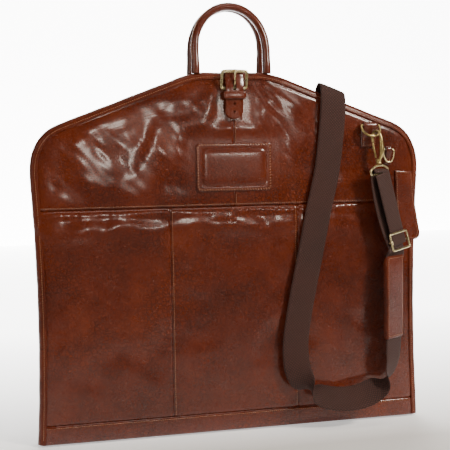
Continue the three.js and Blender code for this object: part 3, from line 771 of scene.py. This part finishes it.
SPINE = [(-22.2, 7), (-22.0, 4), (-20.4, 1.6), (-17, 0.3), (-10, 0.02), (0, 0.02), (10, 0.02), (17, 0.3),
         (20.4, 1.6), (22.0, 4), (22.2, 7)]
fold_piece("spine_leather", SPINE, 298, 1.7, "leather", ["front_spine", "back_spine"])
FOLD = [(-10.9, 30), (-10.8, 12), (-9.6, 5), (-6, 2.5), (6, 2.5), (9.6, 5), (10.8, 12), (10.9, 30)]
fold_piece("fold_lining", FOLD, 292, 0.8, "lining", [])


# ---- seams
def seam_stitches(name, points, body="front_half", back=False, inset=0.0, lift=0.15):
    places = resample(np.array(points, float), 1.5)
    stitch_row(name, on_face(places, lift, back, inset), (0, 1 if back else -1, 0), body)


w_pocket = float(half_width(POCKET_Z + 3.5, 12))
w_hem = float(half_width(HEM_Z + 3.5, 12))
seam_stitches("pocket_seam_stitches", [(-w_pocket, POCKET_Z + 3.6), (w_pocket, POCKET_Z + 3.6)])
seam_stitches("hem_seam_stitches", [(-w_hem, HEM_Z - 3.4), (w_hem, HEM_Z - 3.4)])
for label, place in (("left", -SPLIT + 3.2), ("right", SPLIT - 3.2)):
    seam_stitches(f"pocket_{label}_stitches", [(place, HEM_Z + 4), (place, POCKET_Z - 3)])
seam_stitches("centre_seam_stitches_low", [(2.8, POCKET_Z + 6), (2.8, 372)])
seam_stitches("centre_seam_stitches_high", [(2.8, 449), (2.8, 480)])
seam_stitches("back_seam_stitches", [(-w_pocket + 4, POCKET_Z + 3.6), (w_pocket - 4, POCKET_Z + 3.6)],
              "back_half", True, 4)


# ---- name patch
def rounded_loop(half_w, half_h, radius, cx, cz, corner=7, edge=10):
    """Points round a rounded rectangle, always the same number of them."""
    radius = max(radius, 0.3)
    points = []
    centres = [(half_w - radius, half_h - radius, 0), (-half_w + radius, half_h - radius, 90),
               (-half_w + radius, -half_h + radius, 180), (half_w - radius, -half_h + radius, 270)]
    for k, (px, pz, start) in enumerate(centres):
        arc = [(px + radius * math.cos(math.radians(start + 90 * i / corner)),
                pz + radius * math.sin(math.radians(start + 90 * i / corner))) for i in range(corner + 1)]
        points += arc
        nx, nz, nstart = centres[(k + 1) % 4]
        first = (nx + radius * math.cos(math.radians(nstart)), nz + radius * math.sin(math.radians(nstart)))
        last = arc[-1]
        points += [(last[0] + (first[0] - last[0]) * i / edge, last[1] + (first[1] - last[1]) * i / edge)
                   for i in range(1, edge)]
    return [(cx + x, cz + z) for x, z in points]


PATCH = {"w": 59.0, "h": 36.5, "x": 0.0, "z": 410.5}
levels = [(2.0, 0.35), (0.2, 0.35), (0.0, 0.9), (0.2, 1.7), (0.8, 2.1), (2.0, 2.2), (6.4, 2.2), (7.6, 2.05),
          (8.4, 1.6), (9.0, 1.6), (9.8, 2.1), (11.5, 2.65), (14.5, 3.05), (18.0, 3.2), (22.0, 3.25), (26.0, 3.25)]
rows = []
for inset, lift in levels:
    loop = rounded_loop(PATCH["w"] - inset, PATCH["h"] - inset, 6.0 if inset < 8 else 8.0, PATCH["x"], PATCH["z"])
    rows.append([(x, -27.0 - lift, z) for x, z in loop])
patch = skin("name_patch_leather", rows, close_columns=True, caps=True)
finish_piece(patch, "trim", "front_half", ["name_patch"])
loop = rounded_loop(PATCH["w"] - 2.6, PATCH["h"] - 2.6, 5, PATCH["x"], PATCH["z"])
loop = [(x, -29.42, z) for x, z in loop + loop[:1]]
stitch_row("patch_whip_stitches", resample(np.array(loop), 1.0), (0, -1, 0), "front_half", 4.2, 2.8, 0.6,
           math.radians(58))


# ---- rolled handles
def handle(name, side, anchors, node):
    foot, top = 552.0, 654.0
    points = []
    for z in (foot, 560, 570, 580):
        points.append((-55.5, z))
    for i in range(13):
        angle = math.pi * (1 - i / 12)
        points.append((55.5 * math.cos(angle), 590 + 64 * math.sin(angle)))
    points += [(55.5, z) for z in (580, 570, 560, foot)]
    path = np.array([(x, side * (18 + (6.6 - 18) * (z - 566) / (top - 566)), z) for x, z in points])
    path[:, 1] = np.clip(path[:, 1], -18.6, 18.6)
    path = spline(path, 2.5)
    radius = 6.1
    profile = []
    for i in range(20):
        a = 2 * math.pi * i / 20
        r = radius * (1 - 0.07 * math.exp(-((i - 2.2) / 0.8) ** 2) - 0.07 * math.exp(-((i - 17.8) / 0.8) ** 2))
        profile.append((r * math.cos(a), r * math.sin(a)))
    scale = [1.0 + 0.08 * math.exp(-max(p[2] - foot, 0) / 14) + 0.012 * math.sin(i * 0.45) for i, p in enumerate(path)]
    outer_side = np.cross(tangents(path), (0, 1, 0))
    piece = sweep(name, path, profile, outer_side, scale=scale)
    finish_piece(piece, "trim", None, [node] + anchors)
    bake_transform(piece)
    t = tangents(path)
    out = np.cross(t, (0, 1, 0))
    out /= np.linalg.norm(out, axis=1)[:, None]
    seam = path + out * radius * 0.86 + np.array([0, side * radius * 0.5, 0])
    keep = path[:, 2] > 574
    stitch_row(name + "_stitches", seam[keep], (out + np.array([0, side * 0.6, 0]))[keep], node, 3.6, 2.6, 0.36)


for label, side in (("front", -1), ("back", 1)):
    handle(f"{label}_rolled_handle", side,
           [f"{label}_handle_anchor_left", f"{label}_handle_anchor_right"], f"{label}_handle")


# ---- leather strips
def strip(name, centre, side, width, thick, material, body=None, nodes=(), dome=0.25, tip=None, columns=9,
          uv=False):
    """A flat strip along a line of points, side being its width direction.

    tip rounds off its last end over that length.
    """
    centre = np.array(centre, float)
    t = tangents(centre)
    side = np.broadcast_to(np.array(side, float), centre.shape)
    side = side - (side * t).sum(1)[:, None] * t
    side = side / np.linalg.norm(side, axis=1)[:, None]
    up = np.cross(t, side)
    arc = np.concatenate([[0], np.cumsum(np.linalg.norm(np.diff(centre, axis=0), axis=1))])
    across = np.linspace(-1, 1, columns)
    rows, marks = [], []
    for i, p in enumerate(centre):
        w = width / 2
        if tip:
            left = max(arc[-1] - arc[i], 0.0)
            if left < tip:
                w *= max(math.sqrt(max(1 - (1 - left / tip) ** 2, 0)), 0.12)
        h = thick / 2
        upper = [(a * w, h * (1 - 0.55 * abs(a) ** 6) + dome * (1 - a * a)) for a in across]
        lower = [(a * w, -h * (1 - 0.55 * abs(a) ** 6)) for a in across[::-1]]
        ring_points = upper + lower
        rows.append([p + a * side[i] + b * up[i] for a, b in ring_points])
        marks.append([(a * MM, arc[i] * MM) for a, _ in ring_points])
    piece = skin(name, rows, close_columns=True, caps=True)
    if uv:
        layer = piece.data.uv_layers.new(name="weave")
        flat = [m for row in marks for m in row]
        for loop in piece.data.loops:
            layer.data[loop.index].uv = flat[loop.vertex_index]
    return finish_piece(piece, material, body, nodes)


def yz_path(points, step=1.6):
    """A smooth path through (y, z) points, as (y, z) rows."""
    return spline([(0, y, z) for y, z in points], step)


def edge_stitches(name, path, half, lift, normal_sign, body):
    """Two rows of stitches along the long edges of a strip whose width runs along X."""
    t = tangents(path)
    up = np.cross(t, (1, 0, 0)) * normal_sign
    for label, sign in (("left", -1), ("right", 1)):
        stitch_row(f"{name}_{label}", path + up * lift + np.array([sign * half, 0, 0]), up, body)


CLOSURE = [(-6, 556.6), (-12, 557), (-22, 557), (-30, 555.5), (-33.3, 550), (-34.5, 543), (-36.4, 534), (-37, 528),
           (-36.6, 520), (-35, 508), (-33.4, 498), (-32.6, 483)]
closure = yz_path(CLOSURE)
strap_piece = strip("closure_strap_leather", closure, (1, 0, 0), 27, 2.2, "trim", "front_half", ["closure_strap"],
                    tip=13, dome=0.3)


def drill(obj, boxes=(), rods=()):
    """Cuts boxes and round holes right through a strip."""
    cutters = []
    for x0, x1, y0, y1, z0, z1 in boxes:
        bpy.ops.mesh.primitive_cube_add(size=1)
        cutter = bpy.context.object
        cutter.scale = ((x1 - x0) * MM, (y1 - y0) * MM, (z1 - z0) * MM)
        cutter.location = ((x0 + x1) / 2 * MM, (y0 + y1) / 2 * MM, (z0 + z1) / 2 * MM)
        cutters.append(cutter)
    for x, z, radius in rods:
        bpy.ops.mesh.primitive_cylinder_add(vertices=20, radius=radius * MM, depth=30 * MM)
        cutter = bpy.context.object
        cutter.rotation_euler = (math.pi / 2, 0, 0)
        cutter.location = (x * MM, -34 * MM, z * MM)
        cutters.append(cutter)
    for cutter in cutters:
        bpy.context.view_layer.update()
        cut = obj.modifiers.new("cut", "BOOLEAN")
        cut.object = cutter
        cut.operation = "DIFFERENCE"
        cut.solver = "EXACT"
        bpy.context.view_layer.objects.active = obj
        bpy.ops.object.modifier_apply(modifier=cut.name)
        bpy.data.objects.remove(cutter, do_unlink=True)
    obj.data.polygons.foreach_set("use_smooth", [True] * len(obj.data.polygons))
    obj.data.set_sharp_from_angle(angle=math.radians(50))


drill(strap_piece, [(-2.5, 2.5, -46, -30, 525.6, 541)], [(0, 506, 1.7), (0, 494, 1.7)])
inner = np.array([p for p in closure if p[2] < 552 and p[1] < -31])
edge_stitches("closure_stitches", inner[:-6], 11.2, -1.35, 1, "front_half")

CHAPE = [(-30.4, 497), (-32, 511), (-34.8, 522), (-34.9, 529), (-31.6, 532.5), (-28.6, 529), (-28.2, 520),
         (-28.2, 505), (-28.2, 482)]
chape = strip("buckle_chape_leather", yz_path(CHAPE, 1.0), (1, 0, 0), 27.4, 1.1, "trim", "front_half", ["buckle_chape"],
              dome=0.0)
drill(chape, [(-3.2, 3.2, -46, -20, 525.8, 560)])


def bevel(obj, width, segments=3):
    edge = obj.modifiers.new("bevel", "BEVEL")
    edge.width = width * MM
    edge.segments = segments
    edge.limit_method = "ANGLE"
    bpy.context.view_layer.objects.active = obj
    bpy.ops.object.modifier_apply(modifier=edge.name)
    obj.data.polygons.foreach_set("use_smooth", [True] * len(obj.data.polygons))
    obj.data.set_sharp_from_angle(angle=math.radians(40))
    return obj


def box_piece(name, x0, x1, y0, y1, z0, z1, material, body, nodes=(), round_edge=0.6):
    verts = [(x, y, z) for x in (x0, x1) for y in (y0, y1) for z in (z0, z1)]
    piece = outward(mesh_object(name, verts, BOX_FACES))
    bevel(piece, round_edge)
    return finish_piece(piece, material, body, nodes)


keeper_line = spline([(-16.6, -27.6, 518.5), (-16.6, -33, 518.5), (-16.4, -38, 518.5), (-14.5, -39.5, 518.5),
                      (0, -39.9, 518.5), (14.5, -39.5, 518.5), (16.4, -38, 518.5), (16.6, -33, 518.5),
                      (16.6, -27.6, 518.5)], 1.2)
strip("strap_keeper_leather", keeper_line, (0, 0, 1), 11, 1.5, "trim", "front_half", ["strap_keeper"],
      dome=0.3)


# ---- tabs on the face
def tab_loop(name, x, bar_y, bar_z, tail, width, body, node, back_face=False):
    """A leather strip from the face, round the bar of a ring and back over itself."""
    face = -9.0 if back_face else None
    direction = 1.0 if back_face else -1.0
    low = bar_z - tail
    def leather_y(z):
        return face if back_face else -float(lie(np.array([x]), np.array([z]))[0])
    lay = lambda z: leather_y(z) + direction * 1.2
    over = lambda z: leather_y(z) + direction * 3.2
    points = [(lay(low), low), (lay(bar_z - tail / 2), bar_z - tail / 2), (lay(bar_z - 4), bar_z - 4),
              (bar_y - direction * 2.2, bar_z + 3.0), (bar_y + direction * 1.2, bar_z + 3.6),
              (bar_y + direction * 3.1, bar_z + 0.6), (bar_y + direction * 2.6, bar_z - 4),
              (over(bar_z - tail * 0.6), bar_z - tail * 0.6), (over(low + 0.5), low + 0.5)]
    path = spline([(x, y, z) for y, z in points], 1.0)
    piece = strip(name, path, (1, 0, 0), width, 1.7, "trim", body, [node], dome=0.15)
    rows = [(x + s * (width / 2 - 2.6), over(z) + direction * 1.0, z)
            for s, z in ((-1, low + 3), (-1, bar_z - 9), (1, bar_z - 9), (1, low + 3))]
    if not back_face:
        line = resample(np.array(rows + rows[:1], float), 1.0)
        stitch_row(name + "_stitches", line, (0, direction, 0), body, 2.8, 2.0, 0.32)
    return piece


tab_loop("ring_tab_front_leather", 217.8, -35, 472, 34, 24, "front_half", "ring_tab_front")
tab_loop("ring_tab_rear_leather", -223, -3.6, 462, 12, 22, "front_half", "ring_tab_rear", back_face=True)
tab_loop("ring_tab_small_leather", 250, -31.4, 434, 24, 9.5, "front_half", "ring_tab_small")


def side_tab():
    """The side tab on the face, out to the edge of the bag that it folds over; only its front leaf is built."""
    left = np.array([(262, 401), (263, 380), (264, 350), (265.5, 310), (266, 296), (268, 290.6), (272, 289.2)])
    right = np.array([(292, 399), (294.5, 378), (296, 359), (303.5, 318), (306.3, 301), (305.6, 293.5), (300, 289.4)])
    rows = []
    for k in np.linspace(0, 1, 46):
        a = [np.interp(k, np.linspace(0, 1, len(left)), left[:, c]) for c in (0, 1)]
        b = [np.interp(k, np.linspace(0, 1, len(right)), right[:, c]) for c in (0, 1)]
        u = np.linspace(0, 1, 15)
        x, z = a[0] + (b[0] - a[0]) * u, a[1] + (b[1] - a[1]) * u
        y = -(np.maximum(lie(x, z), 22.5) + 3.0 - 0.6 * np.abs(2 * u - 1) ** 5)
        rows.append(np.stack([x, y, z], axis=1))
    finish_piece(slab("side_tab_leather", rows, 1.7, (0, 1, 0)), "trim", "front_half", ["side_tab"])
    inner = [(265, 397.5), (289.5, 396), (293, 358), (303, 301), (300, 292.5), (271, 292), (268.6, 296), (265, 397.5)]
    line = resample(np.array(inner, float), 1.2)
    y = -(np.maximum(lie(line[:, 0], line[:, 1]), 22.5) + 3.15)
    stitch_row("side_tab_stitches", np.stack([line[:, 0], y, line[:, 1]], axis=1), (0, -1, 0), "front_half")


side_tab()


# ---- metal parts
def place(obj, yaw, lean, x, y, z):
    turn = Matrix.Rotation(math.radians(lean), 4, "Y") @ Matrix.Rotation(math.radians(yaw), 4, "Z")
    obj.data.transform(Matrix.Translation(Vector((x, y, z)) * MM) @ turn)
    return obj


def d_points(width, drop, corner=2.2):
    half = width / 2
    corner = math.copysign(corner, drop)
    points = [(-half + 2, 0, 0), (-half / 2, 0, 0), (0, 0, 0), (half / 2, 0, 0), (half - 2, 0, 0), (half, 0, corner)]
    points += [(half - 1, 0, drop * 0.55), (half * 0.5, 0, drop * 0.92), (0, 0, drop)]
    points += [(-half * 0.5, 0, drop * 0.92), (-half + 1, 0, drop * 0.55), (-half, 0, corner)]
    return spline(points, 0.9, closed=True)


def d_ring(name, width, drop, radius, tilt, x, y, z, body, node, finish="bronze"):
    ring_piece = wire(name, d_points(width, drop), radius, closed=True)
    turn = Matrix.Rotation(math.radians(tilt), 4, "X")
    ring_piece.data.transform(Matrix.Translation(Vector((x, y, z)) * MM) @ turn)
    return finish_piece(ring_piece, finish, body, [node])


d_ring("front_d_ring_wire", 30, -20, 1.8, -math.degrees(math.asin(11 / 20)), 217.8, -35, 472, "d_ring_front",
       "d_ring_front")
d_ring("rear_d_ring_wire", 30, -25, 1.8, math.degrees(math.asin(3.6 / 25)), -223, -3.6, 462, "d_ring_rear",
       "d_ring_rear")
d_ring("small_ring_wire", 18, -20, 1.2, -8, 250, -31.4, 434, "small_ring", "small_ring", "brass")

FRAME_RING = [(-14, 0), (0, 0), (14, 0), (18.2, 1.0), (19, 4), (19, 12.5), (19, 21), (18.2, 24), (14, 25), (0, 25),
              (-14, 25), (-18.2, 24), (-19, 21), (-19, 12.5), (-19, 4), (-18.2, 1.0)]
frame_path = spline([(x, -31.5 - 6.5 * rise / 25, 529 + rise) for x, rise in FRAME_RING], 0.8, closed=True)
buckle = wire("buckle_frame_wire", frame_path, 1.6, closed=True, side=(0, 1, 0.26), flat=1.45)
finish_piece(buckle, "brass", "buckle_frame", ["buckle_frame"])

prong_path = spline([(0, -34.3, 530.9), (0, -37, 533.6), (0, -39.8, 537.5), (0, -41.2, 546), (0, -41.4, 556.6)], 0.7)
prong = wire("buckle_prong_wire", prong_path, 1.35, side=(1, 0, 0))
finish_piece(prong, "brass", "buckle_prong", ["buckle_prong"])

EYE_TOP, WIRE, GAP = 13.0, 1.8, 0.3
BARREL_LOW = EYE_TOP + WIRE + GAP + 0.3
BARREL_HIGH = BARREL_LOW + 8
BOW_TOP, NOSE = 66.5, 50.0


def lathe(name, profile, sides=28):
    """A turned piece about Z, closed on its axis. profile holds (radius, height)."""
    rows = [[(r * math.cos(2 * math.pi * k / sides), r * math.sin(2 * math.pi * k / sides), h) for k in range(sides)]
            for r, h in profile]
    return skin(name, rows, close_columns=True, caps=True)


def snap_hook(name, side_yaw, lean, x, y, z, node, gate_node):
    low, high = BARREL_LOW, BARREL_HIGH
    turned = [(2.6, low), (4.3, low + 0.4), (4.7, low + 1.2), (4.4, low + 2.0), (4.1, low + 2.4),
              (4.1, high - 2.6), (4.5, high - 2.2), (4.5, high - 1.0), (3.6, high), (1.2, high + 0.3)]
    barrel = lathe(name + "_barrel", turned)
    arm_path = spline([(1, 0, high - 2.2), (6.2, 0, high + 4.6), (8.8, 0, high + 12), (9.2, 0, 46), (9.0, 0, 56),
                       (6, 0, BOW_TOP - 2.4), (0, 0, BOW_TOP), (-6, 0, BOW_TOP - 2.4), (-9.0, 0, 58),
                       (-9.2, 0, NOSE)], 0.9)
    count = len(arm_path)
    scale = [1.0 + 0.75 * math.exp(-((i / count - 0.27) / 0.17) ** 2) for i in range(count)]
    arm = sweep(name + "_arm", arm_path, round_profile(2.25), (0, 1, 0), scale=scale)
    body = join(name, [barrel, arm])
    place(body, side_yaw, lean, x, y, z)
    finish_piece(body, "bronze", node, [node])
    gate_path = spline([(-5.2, 0, high + 1.6), (-6.6, 0, 34), (-7.6, 0, 40), (-9, 0, NOSE - 1)], 0.9)
    gate = sweep(name + "_gate", gate_path, round_profile(1.5), (0, 1, 0))
    knob = lathe(name + "_knob", [(0.3, -1.6), (1.7, -1.3), (2.1, 0), (1.7, 1.3), (0.3, 1.6)], 16)
    knob.data.transform(Matrix.Translation(Vector((-9.6, 0, 41)) * MM) @ Matrix.Rotation(math.pi / 2, 4, "Y"))
    gate = join(name + "_gate", [gate, knob])
    place(gate, side_yaw, lean, x, y, z)
    finish_piece(gate, "bronze", gate_node, [gate_node])
    return body, gate


rear = (-223 + 9.6 + 60 * math.sin(math.radians(50)), -0.4, 462 - 18.8 - 60 * math.cos(math.radians(50)))
front_hook, front_gate = snap_hook("front_snap_hook", -67, -5, 229, -46, 396, "snap_hook_front", "snap_gate_front")
rear_hook, rear_gate = snap_hook("rear_snap_hook", -40, -50, *rear, "snap_hook_rear", "snap_gate_rear")


def swivel_eye(name, yaw, lean, x, y, z, node):
    eye = wire(name, d_points(46, EYE_TOP, 2.6), WIRE, closed=True)
    place(eye, yaw, lean, x, y, z)
    return finish_piece(eye, "brass", "front_half", [node])


front_eye = swivel_eye("front_swivel_eye", 33, -5, 229, -46, 396, "swivel_eye_front")
rear_eye = swivel_eye("rear_swivel_eye", 0, -50, *rear, "swivel_eye_rear")

slider_ring = spline([(-18, 0, -13), (0, 0, -13), (18, 0, -13), (22.6, 0, -12), (23.4, 0, -8), (23.4, 0, 0),
                      (23.4, 0, 8),
                      (22.6, 0, 12), (18, 0, 13), (0, 0, 13), (-18, 0, 13), (-22.6, 0, 12), (-23.4, 0, 8),
                      (-23.4, 0, 0), (-23.4, 0, -8), (-22.6, 0, -12)], 0.9, closed=True)
parts = [wire("slider_ring", slider_ring, 1.8, closed=True)]
bar = wire("slider_bar", spline([(-23.2, 0.4, 0), (-22.4, 4.6, 0), (-19, 5.7, 0), (0, 5.7, 0), (19, 5.7, 0),
                                 (22.4, 4.6, 0), (23.2, 0.4, 0)], 1.0), 1.5, side=(0, 0, 1), flat=0.62)
nub = lathe("slider_nub", [(0.4, -3.2), (1.9, -2.8), (2.2, 0), (1.9, 2.8), (0.4, 3.2)], 18)
nub.data.transform(Matrix.Translation(Vector((-23.4, -0.6, 0)) * MM))
slider = join("strap_slider_metal", parts + [bar, nub])
# Tipped like this, the slider cuts about 0.35 mm into strap_sewn_end, at rest and all along its travel.
SLIDER_TIP = math.radians(-8.1)
SLIDER_OUT = 10.4
SEWN_LAYER_OUT = 6.9
slider.data.transform(Matrix.Rotation(SLIDER_TIP, 4, "X"))
out33 = np.array([math.sin(math.radians(33)), -math.cos(math.radians(33))])
place(slider, 33, -7, 227.2 + (397 - 291) * 0.258 + out33[0] * SLIDER_OUT, -43.2 + out33[1] * SLIDER_OUT, 291)
finish_piece(slider, "brass", "strap_slider", ["strap_slider"])

box_piece("zip_slider_metal", -5.3, 5.3, -8.6, -5.8, 518.2, 529.8, "brass", "zip_slider", ["zip_slider"], 1.1)
box_piece("zip_pull_leather", -3.3, 3.3, -5.2, -4.0, 492.2, 523.8, "trim", "zip_pull", ["zip_pull"], 0.5)
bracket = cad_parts["hanger_bracket"]
bracket.data.materials.clear()
bracket.data.materials.append(M["brass"])

# ---- shoulder strap
C33, S33 = math.cos(math.radians(33)), math.sin(math.radians(33))
front_side = (C33, S33, 0)
flat_side = (-1, 0, 0)
STRAND = [
    ((227.2, -43.2, 397), front_side), ((231, -43.2, 367), front_side), ((237.5, -43.2, 336), front_side),
    ((247, -43.2, 305), front_side), ((258.5, -43.4, 276), front_side), ((251, -48.4, 262), front_side),
    ((250, -50, 245), front_side), ((250, -50, 200), front_side), ((250, -50, 155), front_side),
    ((250, -50.5, 122), (0.84, 0.55, 0)), ((245, -54, 95), (0.75, 0.64, 0.1)), ((231, -57, 70), (0.6, 0.55, 0.6)),
    ((203, -59, 53), (0.25, 0.55, 0.8)), ((171, -59, 47), (0, 0.64, 0.77)), ((137, -57, 51), (-0.3, 0.6, 0.75)),
    ((112, -53, 63), (-0.62, 0.5, 0.6)), ((94, -48, 88), (-0.88, 0.3, 0.3)), ((90, -43, 120), (-0.98, 0.12, 0.1)),
    ((93, -40, 155), flat_side), ((103, -37, 206), flat_side), ((117, -35.5, 270), flat_side),
    ((132, -34.5, 340), flat_side), ((146, -34, 400), flat_side), ((154, -33.5, 460), (-1, 0, 0.05)),
    ((157.5, -33, 503), (-1, 0, 0.2)), ((158.5, -28, 525), (-0.94, 0, 0.36)), ((159, -17, 531.5), (-0.94, 0, 0.36)),
    ((159, -6, 525), (-0.94, 0, 0.36)), ((158, -1, 506), (-0.97, 0, 0.2)), ((152, 0, 478), (-0.95, 0, 0.3)),
    ((136, 0, 444), (-0.8, 0, 0.6)), ((104, 0, 412), (-0.5, 0, 0.85)), ((60, 0, 390), (-0.25, 0, 0.97)),
    ((10, 0, 380), (-0.05, 0, 1)), ((-40, 0, 380), (0.04, 0, 1)), ((-90, 0, 386), (0.3, 0, 0.95)),
    ((-130, 0, 395), (0.5, 0, 0.85)),
    ((rear[0] + 3.4, 3, rear[2] - 2), (math.cos(math.radians(50)), 0, math.sin(math.radians(50)))),
]


def webbing_lines(rows, step):
    both = np.array([list(p) + [40 * c for c in s] for p, s in rows], float)
    dense = spline(both, step)
    place_points, side = dense[:, :3], dense[:, 3:] / np.linalg.norm(dense[:, 3:], axis=1)[:, None]
    return place_points, side


strand_path, strand_side = webbing_lines(STRAND, 4.0)
strand = strip("shoulder_strap", strand_path, strand_side, 41, 2.2, "webbing", "front_half", ["shoulder_strap_webbing"],
               dome=0.0, columns=13, uv=True)
end_rows = [((p[0] + out33[0] * SEWN_LAYER_OUT + s[0] * 1.8, p[1] + out33[1] * SEWN_LAYER_OUT + s[1] * 1.8, p[2]), s)
            for p, s in [((x, -43.2, z), front_side)
                         for x, z in ((227.2, 397), (235, 367), (243, 336), (251, 305), (256.4, 284))]]
end_path, end_side = webbing_lines(end_rows, 3.0)
end_loop = strip("strap_sewn_end", end_path, end_side, 38, 2.0, "webbing", "front_half", ["strap_end_loop"], dome=0.0,
                 columns=13, uv=True)
turn_over = [(227.2, -43.2, 398), (226.9 + out33[0] * 0.4, -43.6, 401.0),
             (227.4 + out33[0] * 3.4, -43.2 + out33[1] * 3.4, 403.2),
             (227.2 + out33[0] * 6.5, -43.2 + out33[1] * 6.5, 401.0),
             (227.2 + out33[0] * SEWN_LAYER_OUT, -43.2 + out33[1] * SEWN_LAYER_OUT, 398)]
over_eye = strip("strap_turn_over_eye", spline(turn_over, 1.0), front_side, 38, 1.8, "webbing", "front_half", dome=0.0,
                 columns=13, uv=True)

# ---- shoulder pad
def pad_loop(width, thick, count=40):
    points = []
    for i in range(count):
        a = 2 * math.pi * i / count
        c, s = math.cos(a), math.sin(a)
        points.append((width / 2 * math.copysign(abs(c) ** 0.25, c), thick / 2 * math.copysign(abs(s) ** 0.35, s)))
    return points


def shoulder_pad():
    """Two leather leaves sewn round the webbing, following its line between two heights."""
    hanging = [i for i, p in enumerate(strand_path[:90]) if 134 <= p[2] <= 268 and p[0] > 240]
    line, sides = strand_path[hanging], strand_side[hanging]
    spots = resample(np.hstack([line, sides * 40]), 2.2)
    outer_rows, inner_rows = [], []
    along = tangents(spots[:, :3])
    reach = np.linspace(-1, 1, len(spots))
    for p, s, t, k in zip(spots[:, :3], spots[:, 3:], along, reach):
        across = s / np.linalg.norm(s)
        out = np.cross(across, t)
        out = out if out[1] < 0 else -out
        end = 1 - 0.16 * abs(k) ** 10
        width, thick = 45.5 * (1 - 0.05 * abs(k) ** 8), 9.2 * end - 0.5 * abs(k) ** 4
        outer_rows.append([p + across * a + out * b for a, b in pad_loop(width, thick)])
        inner_rows.append([p + across * a + out * b for a, b in pad_loop(41.8, 3.4)])
    count, width = len(outer_rows), 40
    verts = [p for row in outer_rows + inner_rows for p in row]
    base = count * width
    faces = []
    for i in range(count - 1):
        for j in range(width):
            a, b = i * width + j, i * width + (j + 1) % width
            faces.append((a, b, b + width, a + width))
            faces.append((base + a, base + a + width, base + b + width, base + b))
    for i in (0, count - 1):
        for j in range(width):
            a, b = i * width + j, i * width + (j + 1) % width
            faces.append((a, base + a, base + b, b))
    piece = finish_piece(outward(mesh_object("shoulder_pad_leather", verts, faces)), "satin", "shoulder_pad",
                         ["shoulder_pad"])
    across, out = np.array([C33, S33, 0]), np.array([S33, -C33, 0])
    right = [p + across * 19.4 + out * 4.3 for p in spots[2:-2, :3]]
    left = [p - across * 19.4 + out * 4.3 for p in spots[2:-2, :3]]
    places = resample(np.array(right + left[::-1] + right[:1]), 1.2)
    stitches = stitch_row("shoulder_pad_stitches", np.array(places), out, "shoulder_pad")
    return piece, stitches


pad, pad_stitches = shoulder_pad()


# ---- stage and light
def plain(name, colour, glow):
    n = Nodes(name)
    return n.set(Base_Color=colour, Roughness=0.9, Emission_Color=colour, Emission_Strength=glow)


def stage_plane(name, width, depth, place_at, turn, material):
    w, d = width / 2, depth / 2
    verts = [(-w, -d, 0), (w, -d, 0), (w, d, 0), (-w, d, 0)]
    plane = mesh_object(name, [[c / MM for c in v] for v in verts], [(0, 1, 2, 3)])
    plane.rotation_euler = turn
    plane.location = place_at
    plane.data.materials.append(material)
    return plane


# Painted light on the floor: it glows, from nothing just in front of the bag up to strong far behind it, fading out to
# the sides. It reads pure white and lights the bag from behind and below. Far in front its colour turns dark, so the
# leather reflects little of it.
pale_floor = Nodes("pale_floor")
away = pale_floor.add("SeparateXYZ")
pale_floor.link(pale_floor.place(), away.inputs[0])
glow = pale_floor.remap(away.outputs["Y"], -0.12, 0.9, 0.0, 5.5)
sideways = pale_floor.math("ABSOLUTE", pale_floor.math("SUBTRACT", away.outputs["X"], 0.5))
glow = pale_floor.math("MULTIPLY", glow, pale_floor.remap(sideways, 1.4, 2.2, 1.0, 0.0))
near = pale_floor.remap(away.outputs["Y"], -0.9, -0.25, 0.0, 1.0)
floor_tone = pale_floor.mix(near, (0.1, 0.1, 0.1), (0.88, 0.88, 0.88))
pale_floor.set(Base_Color=floor_tone, Roughness=0.9, Emission_Color=(1.0, 1.0, 1.0), Emission_Strength=glow)
stage_plane("floor", 12, 8, (0, 0, -0.0006), (0, 0, 0), pale_floor.material)
stage_plane("backdrop", 3.2, 1.8, (0.7, 3.2, 0.85), (math.pi / 2, 0, 0), plain("bright_backdrop", (1, 1, 1), 8.5))


def softbox(name, place_at, target, width, height, power):
    data = bpy.data.lights.new(name, "AREA")
    data.shape = "ELLIPSE"
    data.size, data.size_y = width, height
    data.energy = power
    data.color = (1.0, 0.91, 0.8)
    lamp = bpy.data.objects.new(name, data)
    bpy.context.scene.collection.objects.link(lamp)
    lamp.location = place_at
    lamp.rotation_euler = (Vector(target) - Vector(place_at)).to_track_quat("-Z", "Y").to_euler()


softbox("key", (1.05, -1.3, 1.35), (0, 0, 0.3), 0.36, 0.36, 36)
softbox("left_strip", (-1.5, -0.55, 0.75), (-0.1, 0, 0.35), 0.2, 1.1, 5)
softbox("window_left", (0.02, -2.3, 0.57), (-0.19, 0, 0.5), 0.055, 0.13, 3.5)
softbox("window_middle", (0.6, -2.3, 0.66), (0, 0, 0.5), 0.12, 0.08, 2.8)
softbox("left_fill", (-1.2, -1.3, 1.3), (0, 0, 0.35), 0.4, 0.4, 3)
softbox("top", (0.1, -0.7, 1.9), (0, 0, 0.3), 1.2, 0.4, 7)
softbox("right_fill", (1.7, -0.9, 1.3), (0.1, 0, 0.3), 0.5, 0.7, 4)
softbox("behind", (0, 1.4, 2.0), (0, 1.9, 0.2), 2.0, 0.8, 42)
world = bpy.data.worlds.new("studio")
world.use_nodes = True
world.node_tree.nodes["Background"].inputs["Color"].default_value = (0.88, 0.82, 0.75, 1)
world.node_tree.nodes["Background"].inputs["Strength"].default_value = 0.06
bpy.context.scene.world = world
